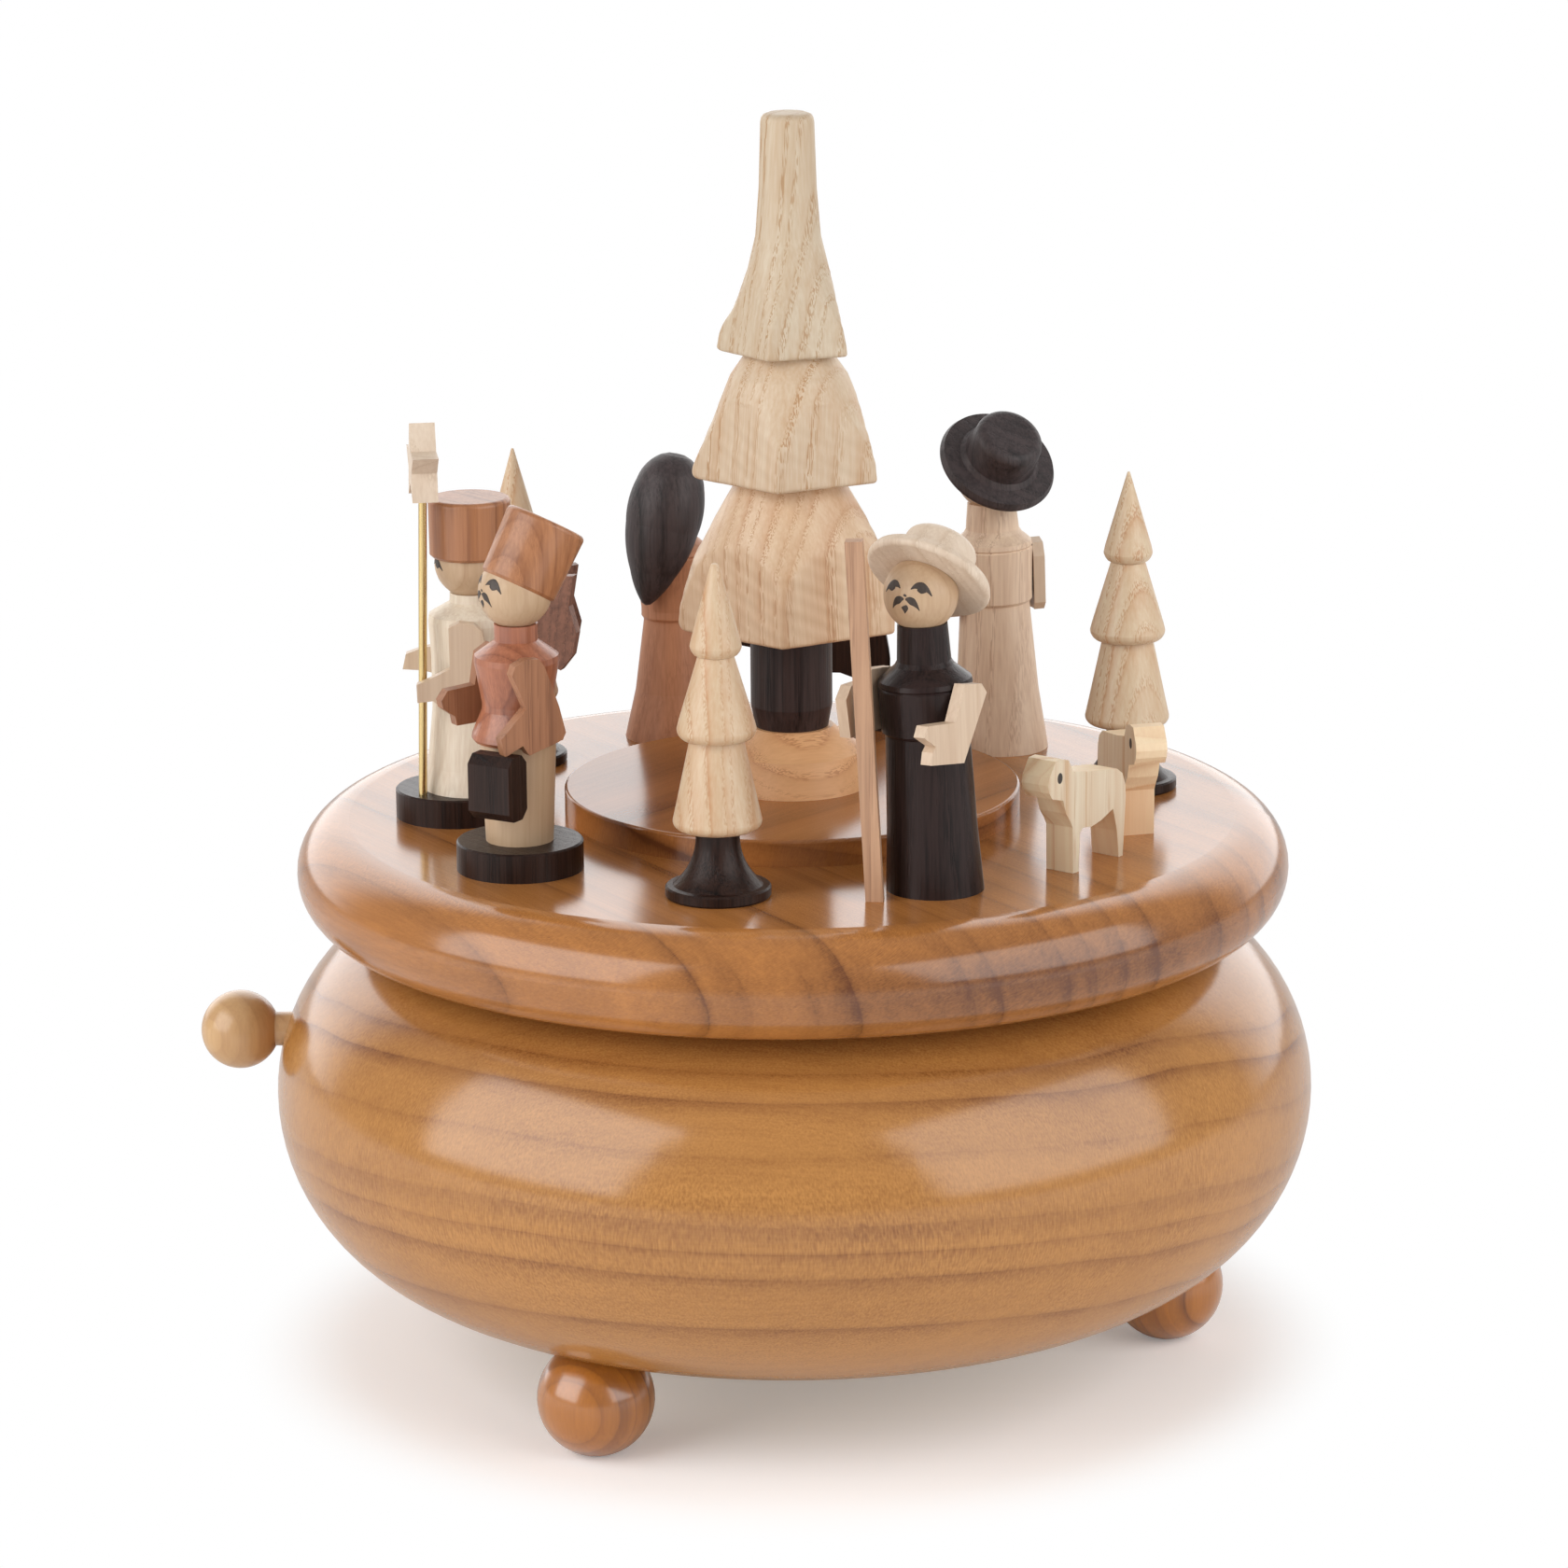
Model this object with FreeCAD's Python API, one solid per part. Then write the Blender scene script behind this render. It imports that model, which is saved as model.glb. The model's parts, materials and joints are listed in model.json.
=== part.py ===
# A wooden music box in millimetres: a lacquered bowl on three ball feet holds a comb movement,
# and its domed lid turns with a carved tree, three firs, five figures and three animals.
# The origin is on the turning axis at floor level, X to the right, Y to the back, Z up.
import FreeCAD, Part
import math
import os

V = FreeCAD.Vector
UP = V(0, 0, 1)

# Driving dimensions of the wooden body
BOWL_R = 91.0
BOWL_FLOOR_R = 57.5
BOWL_FLOOR_Z = 15.0
BOWL_SHOULDER_H = 30.0
BOWL_WIDE_Z = BOWL_FLOOR_Z + BOWL_R - BOWL_FLOOR_R
BOWL_TOP_Z = BOWL_WIDE_Z + BOWL_SHOULDER_H
BOWL_TOP_R = BOWL_R - 20.5
BOWL_EDGE = 0.6
DECK_T = 8.5
CAVITY_R = BOWL_FLOOR_R - 7.5
CAVITY_TOP_Z = BOWL_TOP_Z - DECK_T
FOOT_D = 20.0
FOOT_RING = BOWL_FLOOR_R + 8.6
FOOT_AZIMUTHS = (-121, -1, 119)
FOOT_FLAT_R = 2.0
DOWEL_D = 6.0
BOARD_R = BOWL_FLOOR_R - 2.3
BOARD_T = 5.0
BOARD_SCREW_RING = (CAVITY_R + BOARD_R) / 2
WOOD_GAP = 0.15
LID_GAP = 0.8
LID_T = 18.4
LID_Z = BOWL_TOP_Z + LID_GAP
LID_TOP_Z = LID_Z + LID_T
LID_R = BOWL_R - 4.5
LID_FLAT_R = LID_R - LID_T / 2
DISC_R = 39.7
DISC_T = 4.6
DISC_TOP_Z = LID_TOP_Z + DISC_T

# Driving dimensions of the drive under the deck
FIT = 0.05
SPINDLE_R = 2.5
SPINDLE_TOP_Z = LID_TOP_Z - 5.7
BUSH_R = 4.5
BUSH_FLANGE_R = 7.0
HUB_R = 12.0
HUB_T = 2.5
HUB_BOSS_R = 6.0
HUB_BOSS_H = 8.7
HUB_SCREW_RING = 8.8
BED_Z = BOWL_FLOOR_Z + BOARD_T
BED_T = 3.0
BED_TOP_Z = BED_Z + BED_T
ARBOR_R = 2.5
PIVOT_R = 1.5
COLLAR_R = 4.0
BARREL_R = 15.0
BARREL_WALL = 2.1
BARREL_Z = BED_TOP_Z + 2.0
BARREL_TOP_Z = BARREL_Z + 12.0
BOSS_TOP_Z = BARREL_TOP_Z + 4.0
CROWN_TEETH = 48
CROWN_R = BARREL_R - 1.0
PINION_TEETH = 16
CROWN_MODULE = 2 * CROWN_R / CROWN_TEETH
CROWN_ROOT_Z = BARREL_TOP_Z - 1.1 * CROWN_MODULE
PINION_R = CROWN_MODULE * PINION_TEETH / 2
PINION_END_X = 0.8 - CROWN_R
AXLE_Z = BARREL_TOP_Z + PINION_R
AXLE_R = 1.2
PLATE_T = 1.4
BEARING_X = -CROWN_R - 2.2
CYLINDER_R = 6.5
CYLINDER_X = BEARING_X - 2.3
NOTES = 18
NOTE_PITCH = 1.1
CYLINDER_L = NOTES * NOTE_PITCH + 0.4
PIN_H = 0.7
WHEEL_MODULE = 0.4
WHEEL_TEETH = 60
SMALL_TEETH = 10
WHEEL_X = CYLINDER_X - CYLINDER_L - 0.8
FAR_BEARING_X = WHEEL_X - 2.2
AXLE_END_X = FAR_BEARING_X - PLATE_T
GOVERNOR_Y = -WHEEL_MODULE * (WHEEL_TEETH + SMALL_TEETH) / 2
GOVERNOR_R = 0.9
WORM_MODULE = 0.5
WORM_WHEEL_TEETH = 20
WORM_STARTS = 2
WORM_R = 1.5
WORM_L = 6.0
WORM_LEAD = WORM_STARTS * math.pi * WORM_MODULE
WORM_TURN = 180 - 180 * WORM_L / WORM_LEAD
WORM_SHAFT_R = 0.6
FAN_X = (CYLINDER_X + WHEEL_X) / 2 - 0.6
FAN_Y = GOVERNOR_Y - WORM_MODULE * WORM_WHEEL_TEETH / 2 - WORM_R
FAN_R = 6.0
FRAME_LOW_Z = AXLE_Z - 7.8
FRAME_HIGH_Z = AXLE_Z + 7.4

# Driving dimensions of the stop knob
KNOB_R = 6.9
KNOB_X = -BOWL_R - 6.6
KNOB_Z = BOWL_WIDE_Z + 9.6
ROD_R = 3.0
STOP_WIRE_R = 0.5
STOP_TIP_X = FAN_X - FAN_R - 0.3
STOP_WIRE_X = STOP_TIP_X - 4.2


def at(shape, x, y, z=0, azimuth=0):
    """A copy turned about Z by the azimuth and then moved."""
    moved = shape.copy()
    moved.rotate(V(0, 0, 0), UP, azimuth)
    moved.translate(V(x, y, z))
    return moved


def tilted(shape, pivot, towards, angle):
    """A copy leaned over by an angle about a pivot, its top going towards an azimuth."""
    axis = V(-math.sin(math.radians(towards)), math.cos(math.radians(towards)), 0)
    leaned = shape.copy()
    leaned.rotate(V(*pivot), axis, angle)
    return leaned


def polar(radius, azimuth):
    return radius * math.cos(math.radians(azimuth)), radius * math.sin(math.radians(azimuth))


def tube(outer, z0, z1, inner=0.0, x=0.0, y=0.0):
    body = Part.makeCylinder(outer, z1 - z0, V(x, y, z0))
    if inner > 0:
        body = body.cut(Part.makeCylinder(inner, z1 - z0, V(x, y, z0)))
    return body


def rod(radius, start, end):
    line = V(*end) - V(*start)
    return Part.makeCylinder(radius, line.Length, V(*start), line)


def box(x0, x1, y0, y1, z0, z1):
    return Part.makeBox(x1 - x0, y1 - y0, z1 - z0, V(x0, y0, z0))


def turned(profile):
    """A solid of revolution about Z. Each entry is (r, z), or (r, z, r, z) for an arc through a point."""
    edges = []
    last = V(profile[0][0], 0, profile[0][1])
    for step in profile[1:] + [profile[0][:2]]:
        end = V(step[-2], 0, step[-1])
        if end.distanceToPoint(last) < 1e-7:
            continue
        if len(step) == 4:
            edges.append(Part.Arc(last, V(step[0], 0, step[1]), end).toShape())
        else:
            edges.append(Part.makeLine(last, end))
        last = end
    return Part.Face(Part.Wire(edges)).revolve(V(0, 0, 0), UP, 360)


def plate(points, y0, y1):
    """A flat piece sawn from its side outline: (x, z) points carried from y0 to y1."""
    corners = [V(x, y0, z) for x, z in points]
    face = Part.Face(Part.makePolygon(corners + corners[:1]))
    return face.extrude(V(0, y1 - y0, 0))


def joined(pieces):
    result = pieces[0]
    for piece in pieces[1:]:
        result = result.fuse(piece)
    return result.removeSplitter()


def drilled(body, tools):
    for tool in tools:
        body = body.cut(tool)
    return body


def save(node, solids):
    """Write one node: a single solid, or a compound of separate solids."""
    solids = [solid for shape in solids for solid in shape.Solids]
    shape = solids[0] if len(solids) == 1 else Part.makeCompound(solids)
    shape.exportStep("parts/%s.step" % node)
    print("%-20s %3d solids %10.1f mm3" % (node, len(solids), shape.Volume))


# Wooden body

def foot_places():
    return [polar(FOOT_RING, azimuth) for azimuth in FOOT_AZIMUTHS]


def foot_ball(x, y):
    r = FOOT_D / 2
    centre_z = math.sqrt(r * r - FOOT_FLAT_R ** 2)
    ball = Part.makeSphere(r, V(x, y, centre_z))
    return ball.cut(box(x - r, x + r, y - r, y + r, -r, 0))


def foot_dowel(x, y):
    return tube(DOWEL_D / 2, FOOT_D / 2, BOWL_FLOOR_Z + 13, 0, x, y)


def bowl():
    """One turned block: quarter-round below, a wider arc above, and a cavity open at the bottom."""
    low = BOWL_R - BOWL_FLOOR_R
    reach = BOWL_R - BOWL_TOP_R + 0.5
    upper_r = (reach ** 2 + BOWL_SHOULDER_H ** 2) / (2 * reach)
    centre_r = BOWL_R - upper_r
    edge_z = BOWL_TOP_Z - BOWL_EDGE
    rise = math.asin((edge_z - BOWL_WIDE_Z) / upper_r)
    mid = math.sqrt(0.5)
    blank = turned([
        (CAVITY_R, CAVITY_TOP_Z), (CAVITY_R, BED_Z), (BOARD_R + WOOD_GAP, BED_Z),
        (BOARD_R + WOOD_GAP, BOWL_FLOOR_Z), (BOWL_FLOOR_R, BOWL_FLOOR_Z),
        (BOWL_FLOOR_R + low * mid, BOWL_WIDE_Z - low * mid, BOWL_R, BOWL_WIDE_Z),
        (centre_r + upper_r * math.cos(rise / 2), BOWL_WIDE_Z + upper_r * math.sin(rise / 2),
         centre_r + upper_r * math.cos(rise), edge_z),
        (BOWL_TOP_R, BOWL_TOP_Z), (BUSH_R, BOWL_TOP_Z), (BUSH_R, CAVITY_TOP_Z)])
    tools = [foot_ball(x, y) for x, y in foot_places()]
    tools += [foot_dowel(x, y) for x, y in foot_places()]
    tools += [rod(ROD_R + FIT, (-BOWL_R - 5, 0, KNOB_Z), (0, 0, KNOB_Z))]
    tools += [wood_screw(x, y) for x, y in wood_screw_places()]
    return drilled(blank, tools)


def wood_screw_places():
    return [polar(BOARD_SCREW_RING, azimuth) for azimuth in (30, 120, 210, 300)]


def wood_screw(x, y):
    """Countersunk screw from below, holding the board against the ledge in the bowl."""
    z = BOWL_FLOOR_Z
    return at(turned([(0, z), (2.0, z), (2.0, z + 0.3), (1.0, z + 1.5), (1.0, z + 11), (0, z + 12.5)]), x, y)


def base_board():
    board = tube(BOARD_R, BOWL_FLOOR_Z, BED_Z, COLLAR_R)
    tools = [wood_screw(x, y) for x, y in wood_screw_places()]
    tools += [bed_screw(x, y) for x, y in bed_screw_places()]
    return drilled(board, tools)


def lid():
    edge_z = (LID_Z + LID_TOP_Z) / 2
    half = (LID_TOP_Z - LID_Z) / 2
    reach = LID_R - LID_FLAT_R
    mid = math.sqrt(0.5)
    blank = turned([
        (0, LID_Z), (LID_FLAT_R, LID_Z),
        (LID_FLAT_R + reach * mid, edge_z - half * mid, LID_R, edge_z),
        (LID_FLAT_R + reach * mid, edge_z + half * mid, LID_FLAT_R, LID_TOP_Z),
        (0, LID_TOP_Z)])
    hub = [tube(HUB_R, LID_Z, LID_Z + HUB_T), tube(HUB_BOSS_R, LID_Z, LID_Z + HUB_BOSS_H)]
    return drilled(blank, hub + [tube(SPINDLE_R, LID_Z, SPINDLE_TOP_Z)] + hub_screws())


def centre_disc():
    return turned([(0, LID_TOP_Z), (DISC_R, LID_TOP_Z), (DISC_R, DISC_TOP_Z - 0.5),
                   (DISC_R - 0.15, DISC_TOP_Z - 0.15, DISC_R - 0.5, DISC_TOP_Z), (0, DISC_TOP_Z)])


# Drive

def gear(teeth, module, x0, x1, bore, thin):
    """A spur gear on the X axis with involute flanks of 25 degrees, its teeth thinned by 'thin'."""
    pitch = module * teeth / 2
    base = pitch * math.cos(math.radians(25))
    tip = pitch + 0.8 * module
    root = pitch - 1.1 * module
    inv_pitch = math.tan(math.radians(25)) - math.radians(25)
    half = (math.pi * module / 2 - thin) / 2 / pitch
    points = []
    for tooth in range(teeth):
        centre = 2 * math.pi * tooth / teeth
        flank = []
        for step in range(4):
            r = max(base, root) + (tip - max(base, root)) * step / 3
            pressure = math.acos(min(1.0, base / r))
            flank.append((r, half + inv_pitch - (math.tan(pressure) - pressure)))
        flank = [(root, flank[0][1])] + flank if root < flank[0][0] - 0.01 else flank
        points += [(r, centre - a) for r, a in flank]
        points += [(r, centre + a) for r, a in reversed(flank)]
    corners = [V(x0, r * math.sin(a), r * math.cos(a)) for r, a in points]
    body = Part.Face(Part.makePolygon(corners + corners[:1])).extrude(V(x1 - x0, 0, 0))
    return body.cut(rod(bore, (x0, 0, 0), (x1, 0, 0))) if bore > 0 else body


def crown_tooth():
    """One tooth of the barrel's crown, a radial bar with sloping flanks, on the -X side."""
    top = BARREL_TOP_Z + 0.8 * CROWN_MODULE
    foot = CROWN_ROOT_Z
    inner = BARREL_R - BARREL_WALL
    slope = math.tan(math.radians(25))
    half = math.pi * CROWN_MODULE / 4 - 0.13
    wide = half + (BARREL_TOP_Z - foot) * slope
    tip = half - (top - BARREL_TOP_Z) * slope
    corners = [V(-BARREL_R, -wide, foot), V(-BARREL_R, wide, foot),
               V(-BARREL_R, tip, top), V(-BARREL_R, -tip, top)]
    bar = Part.Face(Part.makePolygon(corners + corners[:1])).extrude(V(BARREL_WALL, 0, 0))
    return bar.common(tube(BARREL_R, foot, top, inner))


def spring_barrel():
    """The toothed brass barrel: floor, wall and crown in one piece."""
    cup = tube(BARREL_R, BARREL_Z, CROWN_ROOT_Z, ARBOR_R + FIT)
    cup = cup.cut(tube(BARREL_R - BARREL_WALL, BARREL_Z + 1.2, CROWN_ROOT_Z))
    tooth = crown_tooth()
    step = 360 / CROWN_TEETH
    teeth = [at(tooth, 0, 0, 0, (index + 0.5) * step) for index in range(CROWN_TEETH)]
    return cup.multiFuse(teeth).removeSplitter()


def barrel_cap():
    """The lid of the barrel with the boss that holds the spindle."""
    z = CROWN_ROOT_Z
    disc = tube(BARREL_R - BARREL_WALL - FIT, z - 1.0, z)
    return joined([disc, tube(BUSH_R, z, BOSS_TOP_Z)]).cut(tube(SPINDLE_R, z - 1.0, BOSS_TOP_Z))


def mainspring():
    """A flat spiral strip standing inside the barrel, 0.35 thick and five turns long."""
    inner_r, outer_r, turns, thick = ARBOR_R + 1.7, BARREL_R - BARREL_WALL - 0.9, 5, 0.35
    sides = []
    for offset in (0, thick):
        points = []
        for step in range(turns * 16 + 1):
            r = inner_r + (outer_r - inner_r) * step / (turns * 16) + offset
            points.append(V(*polar(r, step * 22.5), BARREL_Z + 1.6))
        curve = Part.BSplineCurve()
        curve.interpolate(points)
        sides.append(curve.toShape())
    inner, outer = sides
    ends = [Part.makeLine(inner.Vertexes[0].Point, outer.Vertexes[0].Point),
            Part.makeLine(inner.Vertexes[-1].Point, outer.Vertexes[-1].Point)]
    wire = Part.Wire(Part.__sortEdges__([inner, ends[1], outer, ends[0]]))
    return Part.Face(wire).extrude(V(0, 0, CROWN_ROOT_Z - BARREL_Z - 3.2))


def spindle():
    foot_z = CROWN_ROOT_Z - 1.0
    return tube(SPINDLE_R, foot_z, SPINDLE_TOP_Z).cut(tube(PIVOT_R + FIT, foot_z, BOSS_TOP_Z))


def winding_arbor():
    """Steel arbor with a collar over the bedplate and a pivot for the spindle."""
    z = CROWN_ROOT_Z - 1.2
    return turned([(0, 4.5), (ARBOR_R, 4.5), (ARBOR_R, BED_TOP_Z + FIT), (COLLAR_R, BED_TOP_Z + FIT),
                   (COLLAR_R, BARREL_Z - 0.1), (ARBOR_R, BARREL_Z - 0.1), (ARBOR_R, z), (PIVOT_R, z),
                   (PIVOT_R, BOSS_TOP_Z - 0.4), (0, BOSS_TOP_Z - 0.4)])


def winding_key():
    """A pressed key: a hub on the arbor and two wings reaching out of it."""
    wings = rod(5.5, (-6.5, -1, 7.6), (-6.5, 1, 7.6)).fuse(rod(5.5, (6.5, -1, 7.6), (6.5, 1, 7.6)))
    wings = wings.cut(rod(2.4, (-7.2, -1, 7.6), (-7.2, 1, 7.6)))
    wings = wings.cut(rod(2.4, (7.2, -1, 7.6), (7.2, 1, 7.6)))
    return joined([tube(3.9, 3.0, 14.4), wings]).cut(tube(ARBOR_R, 4.5, 15))


def spindle_bush():
    """The brass bush in the deck. Its flange carries the turning lid."""
    bore = SPINDLE_R + FIT
    return turned([(bore, CAVITY_TOP_Z), (BUSH_R, CAVITY_TOP_Z), (BUSH_R, BOWL_TOP_Z),
                   (BUSH_FLANGE_R, BOWL_TOP_Z), (BUSH_FLANGE_R, LID_Z - 0.1), (bore, LID_Z - 0.1)])


def hub_screws():
    z = LID_Z + 0.4
    shape = turned([(0, z), (1.9, z), (1.9, z + 0.3), (1.0, z + 1.2), (1.0, z + 8), (0, z + 9)])
    return [at(shape, *polar(HUB_SCREW_RING, azimuth)) for azimuth in (0, 120, 240)]


def hub_flange():
    body = turned([(SPINDLE_R, LID_Z), (HUB_R, LID_Z), (HUB_R, LID_Z + HUB_T), (HUB_BOSS_R, LID_Z + HUB_T),
                   (HUB_BOSS_R, LID_Z + HUB_BOSS_H), (SPINDLE_R, LID_Z + HUB_BOSS_H)])
    sinks = [tube(1.9, LID_Z, LID_Z + 0.4, 0, *polar(HUB_SCREW_RING, azimuth)) for azimuth in (0, 120, 240)]
    return drilled(body, hub_screws() + sinks)


def bed_screw_places():
    return [(13, 17), (13, -22), (WHEEL_X - 2.4, 13), (WHEEL_X + 2.1, -25)]


def bed_screw(x, y):
    z = BED_TOP_Z
    return at(turned([(0, z - 7), (1.2, z - 7), (1.2, z), (2.4, z), (2.4, z + 1.6), (0, z + 1.6)]), x, y)


def bedplate():
    body = box(AXLE_END_X - 3, 18, -30, 28, BED_Z, BED_TOP_Z)
    body = body.common(tube(CAVITY_R - 1.0, BED_Z, BED_TOP_Z))
    holes = [tube(ARBOR_R + FIT, BED_Z, BED_TOP_Z)] + [bed_screw(x, y) for x, y in bed_screw_places()]
    return drilled(body, holes + [bearing_screw(x) for x in bearing_xs()] + [frame_screw()])


def bearing_xs():
    return (BEARING_X, FAR_BEARING_X)


def bearing_foot_side(x):
    """The feet of both bearings point inwards, under the cylinder."""
    return 1 if x == FAR_BEARING_X else -1


def bearing(x):
    """An upright brass plate with a foot, holding the cylinder axle and the governor axle."""
    upright = box(x - PLATE_T, x, GOVERNOR_Y - 4, 5, BED_TOP_Z, AXLE_Z + 4)
    middle = x - PLATE_T / 2
    end = middle + 5.5 * bearing_foot_side(x)
    foot = box(min(middle, end), max(middle, end), GOVERNOR_Y - 4, 5, BED_TOP_Z, BED_TOP_Z + PLATE_T)
    holes = [rod(AXLE_R + FIT, (x - PLATE_T, 0, AXLE_Z), (x, 0, AXLE_Z)),
             rod(GOVERNOR_R + FIT, (x - PLATE_T, GOVERNOR_Y, AXLE_Z), (x, GOVERNOR_Y, AXLE_Z))]
    return drilled(joined([upright, foot]), holes + [bearing_screw(x)])


def small_screw(x, y):
    """The cheese-head screw that holds a bracket foot down on the bedplate."""
    z = BED_TOP_Z + PLATE_T
    return at(turned([(0, z - 3.4), (0.8, z - 3.4), (0.8, z), (1.5, z), (1.5, z + 1), (0, z + 1)]), x, y)


def bearing_screw(x):
    return small_screw(x - PLATE_T / 2 + 3.2 * bearing_foot_side(x), GOVERNOR_Y / 2)


def frame_screw():
    return small_screw(FAN_X, FAN_Y + 0.3)


def machine_screws():
    screws = [comb_screw(x) for x in comb_screw_xs()]
    screws += [bed_screw(x, y) for x, y in bed_screw_places()]
    return screws + [bearing_screw(x) for x in bearing_xs()] + [frame_screw()]


def comb():
    """The steel comb: a plate with eighteen tongues that grow shorter towards the treble end."""
    start = CYLINDER_X - 0.2
    end = start - NOTES * NOTE_PITCH
    z = AXLE_Z
    solid = box(end - 1, start + 1, 19, 28, z - 0.6, z + 0.6)
    tongues = []
    for note in range(NOTES):
        x = start - (note + 0.5) * NOTE_PITCH
        root_y = 19.5 - 0.22 * note
        tongues.append(box(x - 0.42, x + 0.42, CYLINDER_R + PIN_H + 0.3, root_y + 0.5, z - 0.3, z + 0.3))
        tongues.append(box(x - 0.55, x + 0.55, root_y, 20, z - 0.6, z + 0.6))
    body = solid.multiFuse(tongues).removeSplitter()
    return drilled(body, [comb_screw(x) for x in comb_screw_xs()])


def comb_screw_xs():
    middle = CYLINDER_X - 0.2 - NOTES * NOTE_PITCH / 2
    return (middle - 6, middle + 6)


def comb_screw(x):
    z = AXLE_Z + 0.6
    return at(turned([(0, z - 8), (1.0, z - 8), (1.0, z), (1.9, z), (1.9, z + 1.2), (0, z + 1.2)]), x, 24)


def comb_block():
    start = CYLINDER_X + 0.8
    end = start - NOTES * NOTE_PITCH - 2
    block = box(end, start, 20.5, 28, BED_TOP_Z, AXLE_Z - 0.6)
    return drilled(block, [comb_screw(x) for x in comb_screw_xs()])


def cylinder():
    """The brass pin cylinder, a tube closed by its two ends."""
    x1 = CYLINDER_X - CYLINDER_L
    body = rod(CYLINDER_R, (CYLINDER_X, 0, AXLE_Z), (x1, 0, AXLE_Z))
    hollow = rod(CYLINDER_R - 0.8, (CYLINDER_X - 1.5, 0, AXLE_Z), (x1 + 1.5, 0, AXLE_Z))
    axle = rod(AXLE_R, (CYLINDER_X, 0, AXLE_Z), (x1, 0, AXLE_Z))
    return drilled(body, [hollow, axle] + cylinder_pins())


def cylinder_pins():
    """Steel pins set into the cylinder wall, four to each tongue in an even spiral pattern."""
    pins = []
    for note in range(NOTES):
        x = CYLINDER_X - 0.2 - (note + 0.5) * NOTE_PITCH
        for turn in range(4):
            angle = math.radians(turn * 90 + note * 35)
            side, height = math.sin(angle), math.cos(angle)
            inner, outer = CYLINDER_R - 0.5, CYLINDER_R + PIN_H
            pins.append(rod(0.2, (x, inner * side, AXLE_Z + inner * height),
                            (x, outer * side, AXLE_Z + outer * height)))
    return pins


def cylinder_arbor():
    """The axle of the cylinder with the sixteen-leaf pinion cut on its inner end."""
    axle = rod(AXLE_R, (PINION_END_X, 0, AXLE_Z), (AXLE_END_X, 0, AXLE_Z))
    leaves = gear(PINION_TEETH, CROWN_MODULE, PINION_END_X - 1.7, PINION_END_X, 0, 0.26)
    return joined([axle, at(leaves, 0, 0, AXLE_Z)])


def cylinder_wheel():
    return at(gear(WHEEL_TEETH, WHEEL_MODULE, WHEEL_X - 1.0, WHEEL_X, AXLE_R, 0.16), 0, 0, AXLE_Z)


def governor_arbor():
    axle = rod(GOVERNOR_R, (BEARING_X + 0.4, GOVERNOR_Y, AXLE_Z), (AXLE_END_X, GOVERNOR_Y, AXLE_Z))
    leaves = gear(SMALL_TEETH, WHEEL_MODULE, WHEEL_X - 1.4, WHEEL_X + 0.4, 0, 0.16)
    return joined([axle, at(leaves, 0, GOVERNOR_Y, AXLE_Z)])


def worm_wheel():
    wheel = gear(WORM_WHEEL_TEETH, WORM_MODULE, -0.4, 0.4, GOVERNOR_R, 0.3)
    return at(wheel, FAN_X, GOVERNOR_Y, AXLE_Z)


def worm():
    """A two-start worm: a rib of sloping section swept along two helices on the core."""
    root = WORM_R - 1.1 * WORM_MODULE
    tip = WORM_R + 0.8 * WORM_MODULE
    core = tube(root, -WORM_L / 2 - 0.8, WORM_L / 2 + 0.8)
    ribs = []
    for start in range(WORM_STARTS):
        helix = Part.makeHelix(WORM_LEAD, WORM_L, root)
        corners = [V(root - 0.12, 0, -0.40), V(root - 0.12, 0, 0.40), V(tip, 0, 0.13), V(tip, 0, -0.13)]
        section = Part.makePolygon(corners + corners[:1])
        sweep = Part.Wire(helix).makePipeShell([section], True, True)
        ribs.append(at(sweep, 0, 0, -WORM_L / 2, 360 * start / WORM_STARTS))
    return joined([core] + ribs)


def governor_fan():
    """The vertical governor shaft with its worm and the two brass blades of the air brake."""
    shaft = tube(WORM_SHAFT_R, FRAME_LOW_Z, KNOB_Z + 3)
    blades = box(0.1 - FAN_R, FAN_R - 0.1, -0.25, 0.25, KNOB_Z - 4.5, KNOB_Z + 2.2)
    hub = tube(2 * WORM_SHAFT_R, KNOB_Z - 5.5, KNOB_Z + 2.6)
    threaded = at(worm(), 0, 0, AXLE_Z, WORM_TURN)
    return at(joined([threaded, shaft, hub, blades]), FAN_X, FAN_Y)


def governor_frame():
    """The bracket that stands on the bedplate and holds both ends of the worm shaft."""
    x0, x1, y0 = FAN_X - 3, FAN_X + 3, FAN_Y - 4.6
    bracket = [box(x0, x1, y0, y0 + PLATE_T, BED_TOP_Z, FRAME_HIGH_Z + PLATE_T),
               box(x0, x1, y0, FAN_Y + 1.8, FRAME_LOW_Z, FRAME_LOW_Z + PLATE_T),
               box(x0, x1, y0, FAN_Y + 1.8, FRAME_HIGH_Z, FRAME_HIGH_Z + PLATE_T),
               box(x0, x1, y0, y0 + 7, BED_TOP_Z, BED_TOP_Z + PLATE_T)]
    bearing_hole = tube(WORM_SHAFT_R + FIT, FRAME_LOW_Z, FRAME_HIGH_Z + PLATE_T, 0, FAN_X, FAN_Y)
    return drilled(joined(bracket), [bearing_hole, frame_screw()])


# Stop knob

def stop_knob():
    ball = Part.makeSphere(KNOB_R, V(KNOB_X, 0, KNOB_Z))
    return ball.cut(stop_rod())


def stop_rod():
    body = rod(ROD_R, (KNOB_X - 2, 0, KNOB_Z), (STOP_WIRE_X + 2, 0, KNOB_Z))
    return body.cut(stop_wire())


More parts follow.
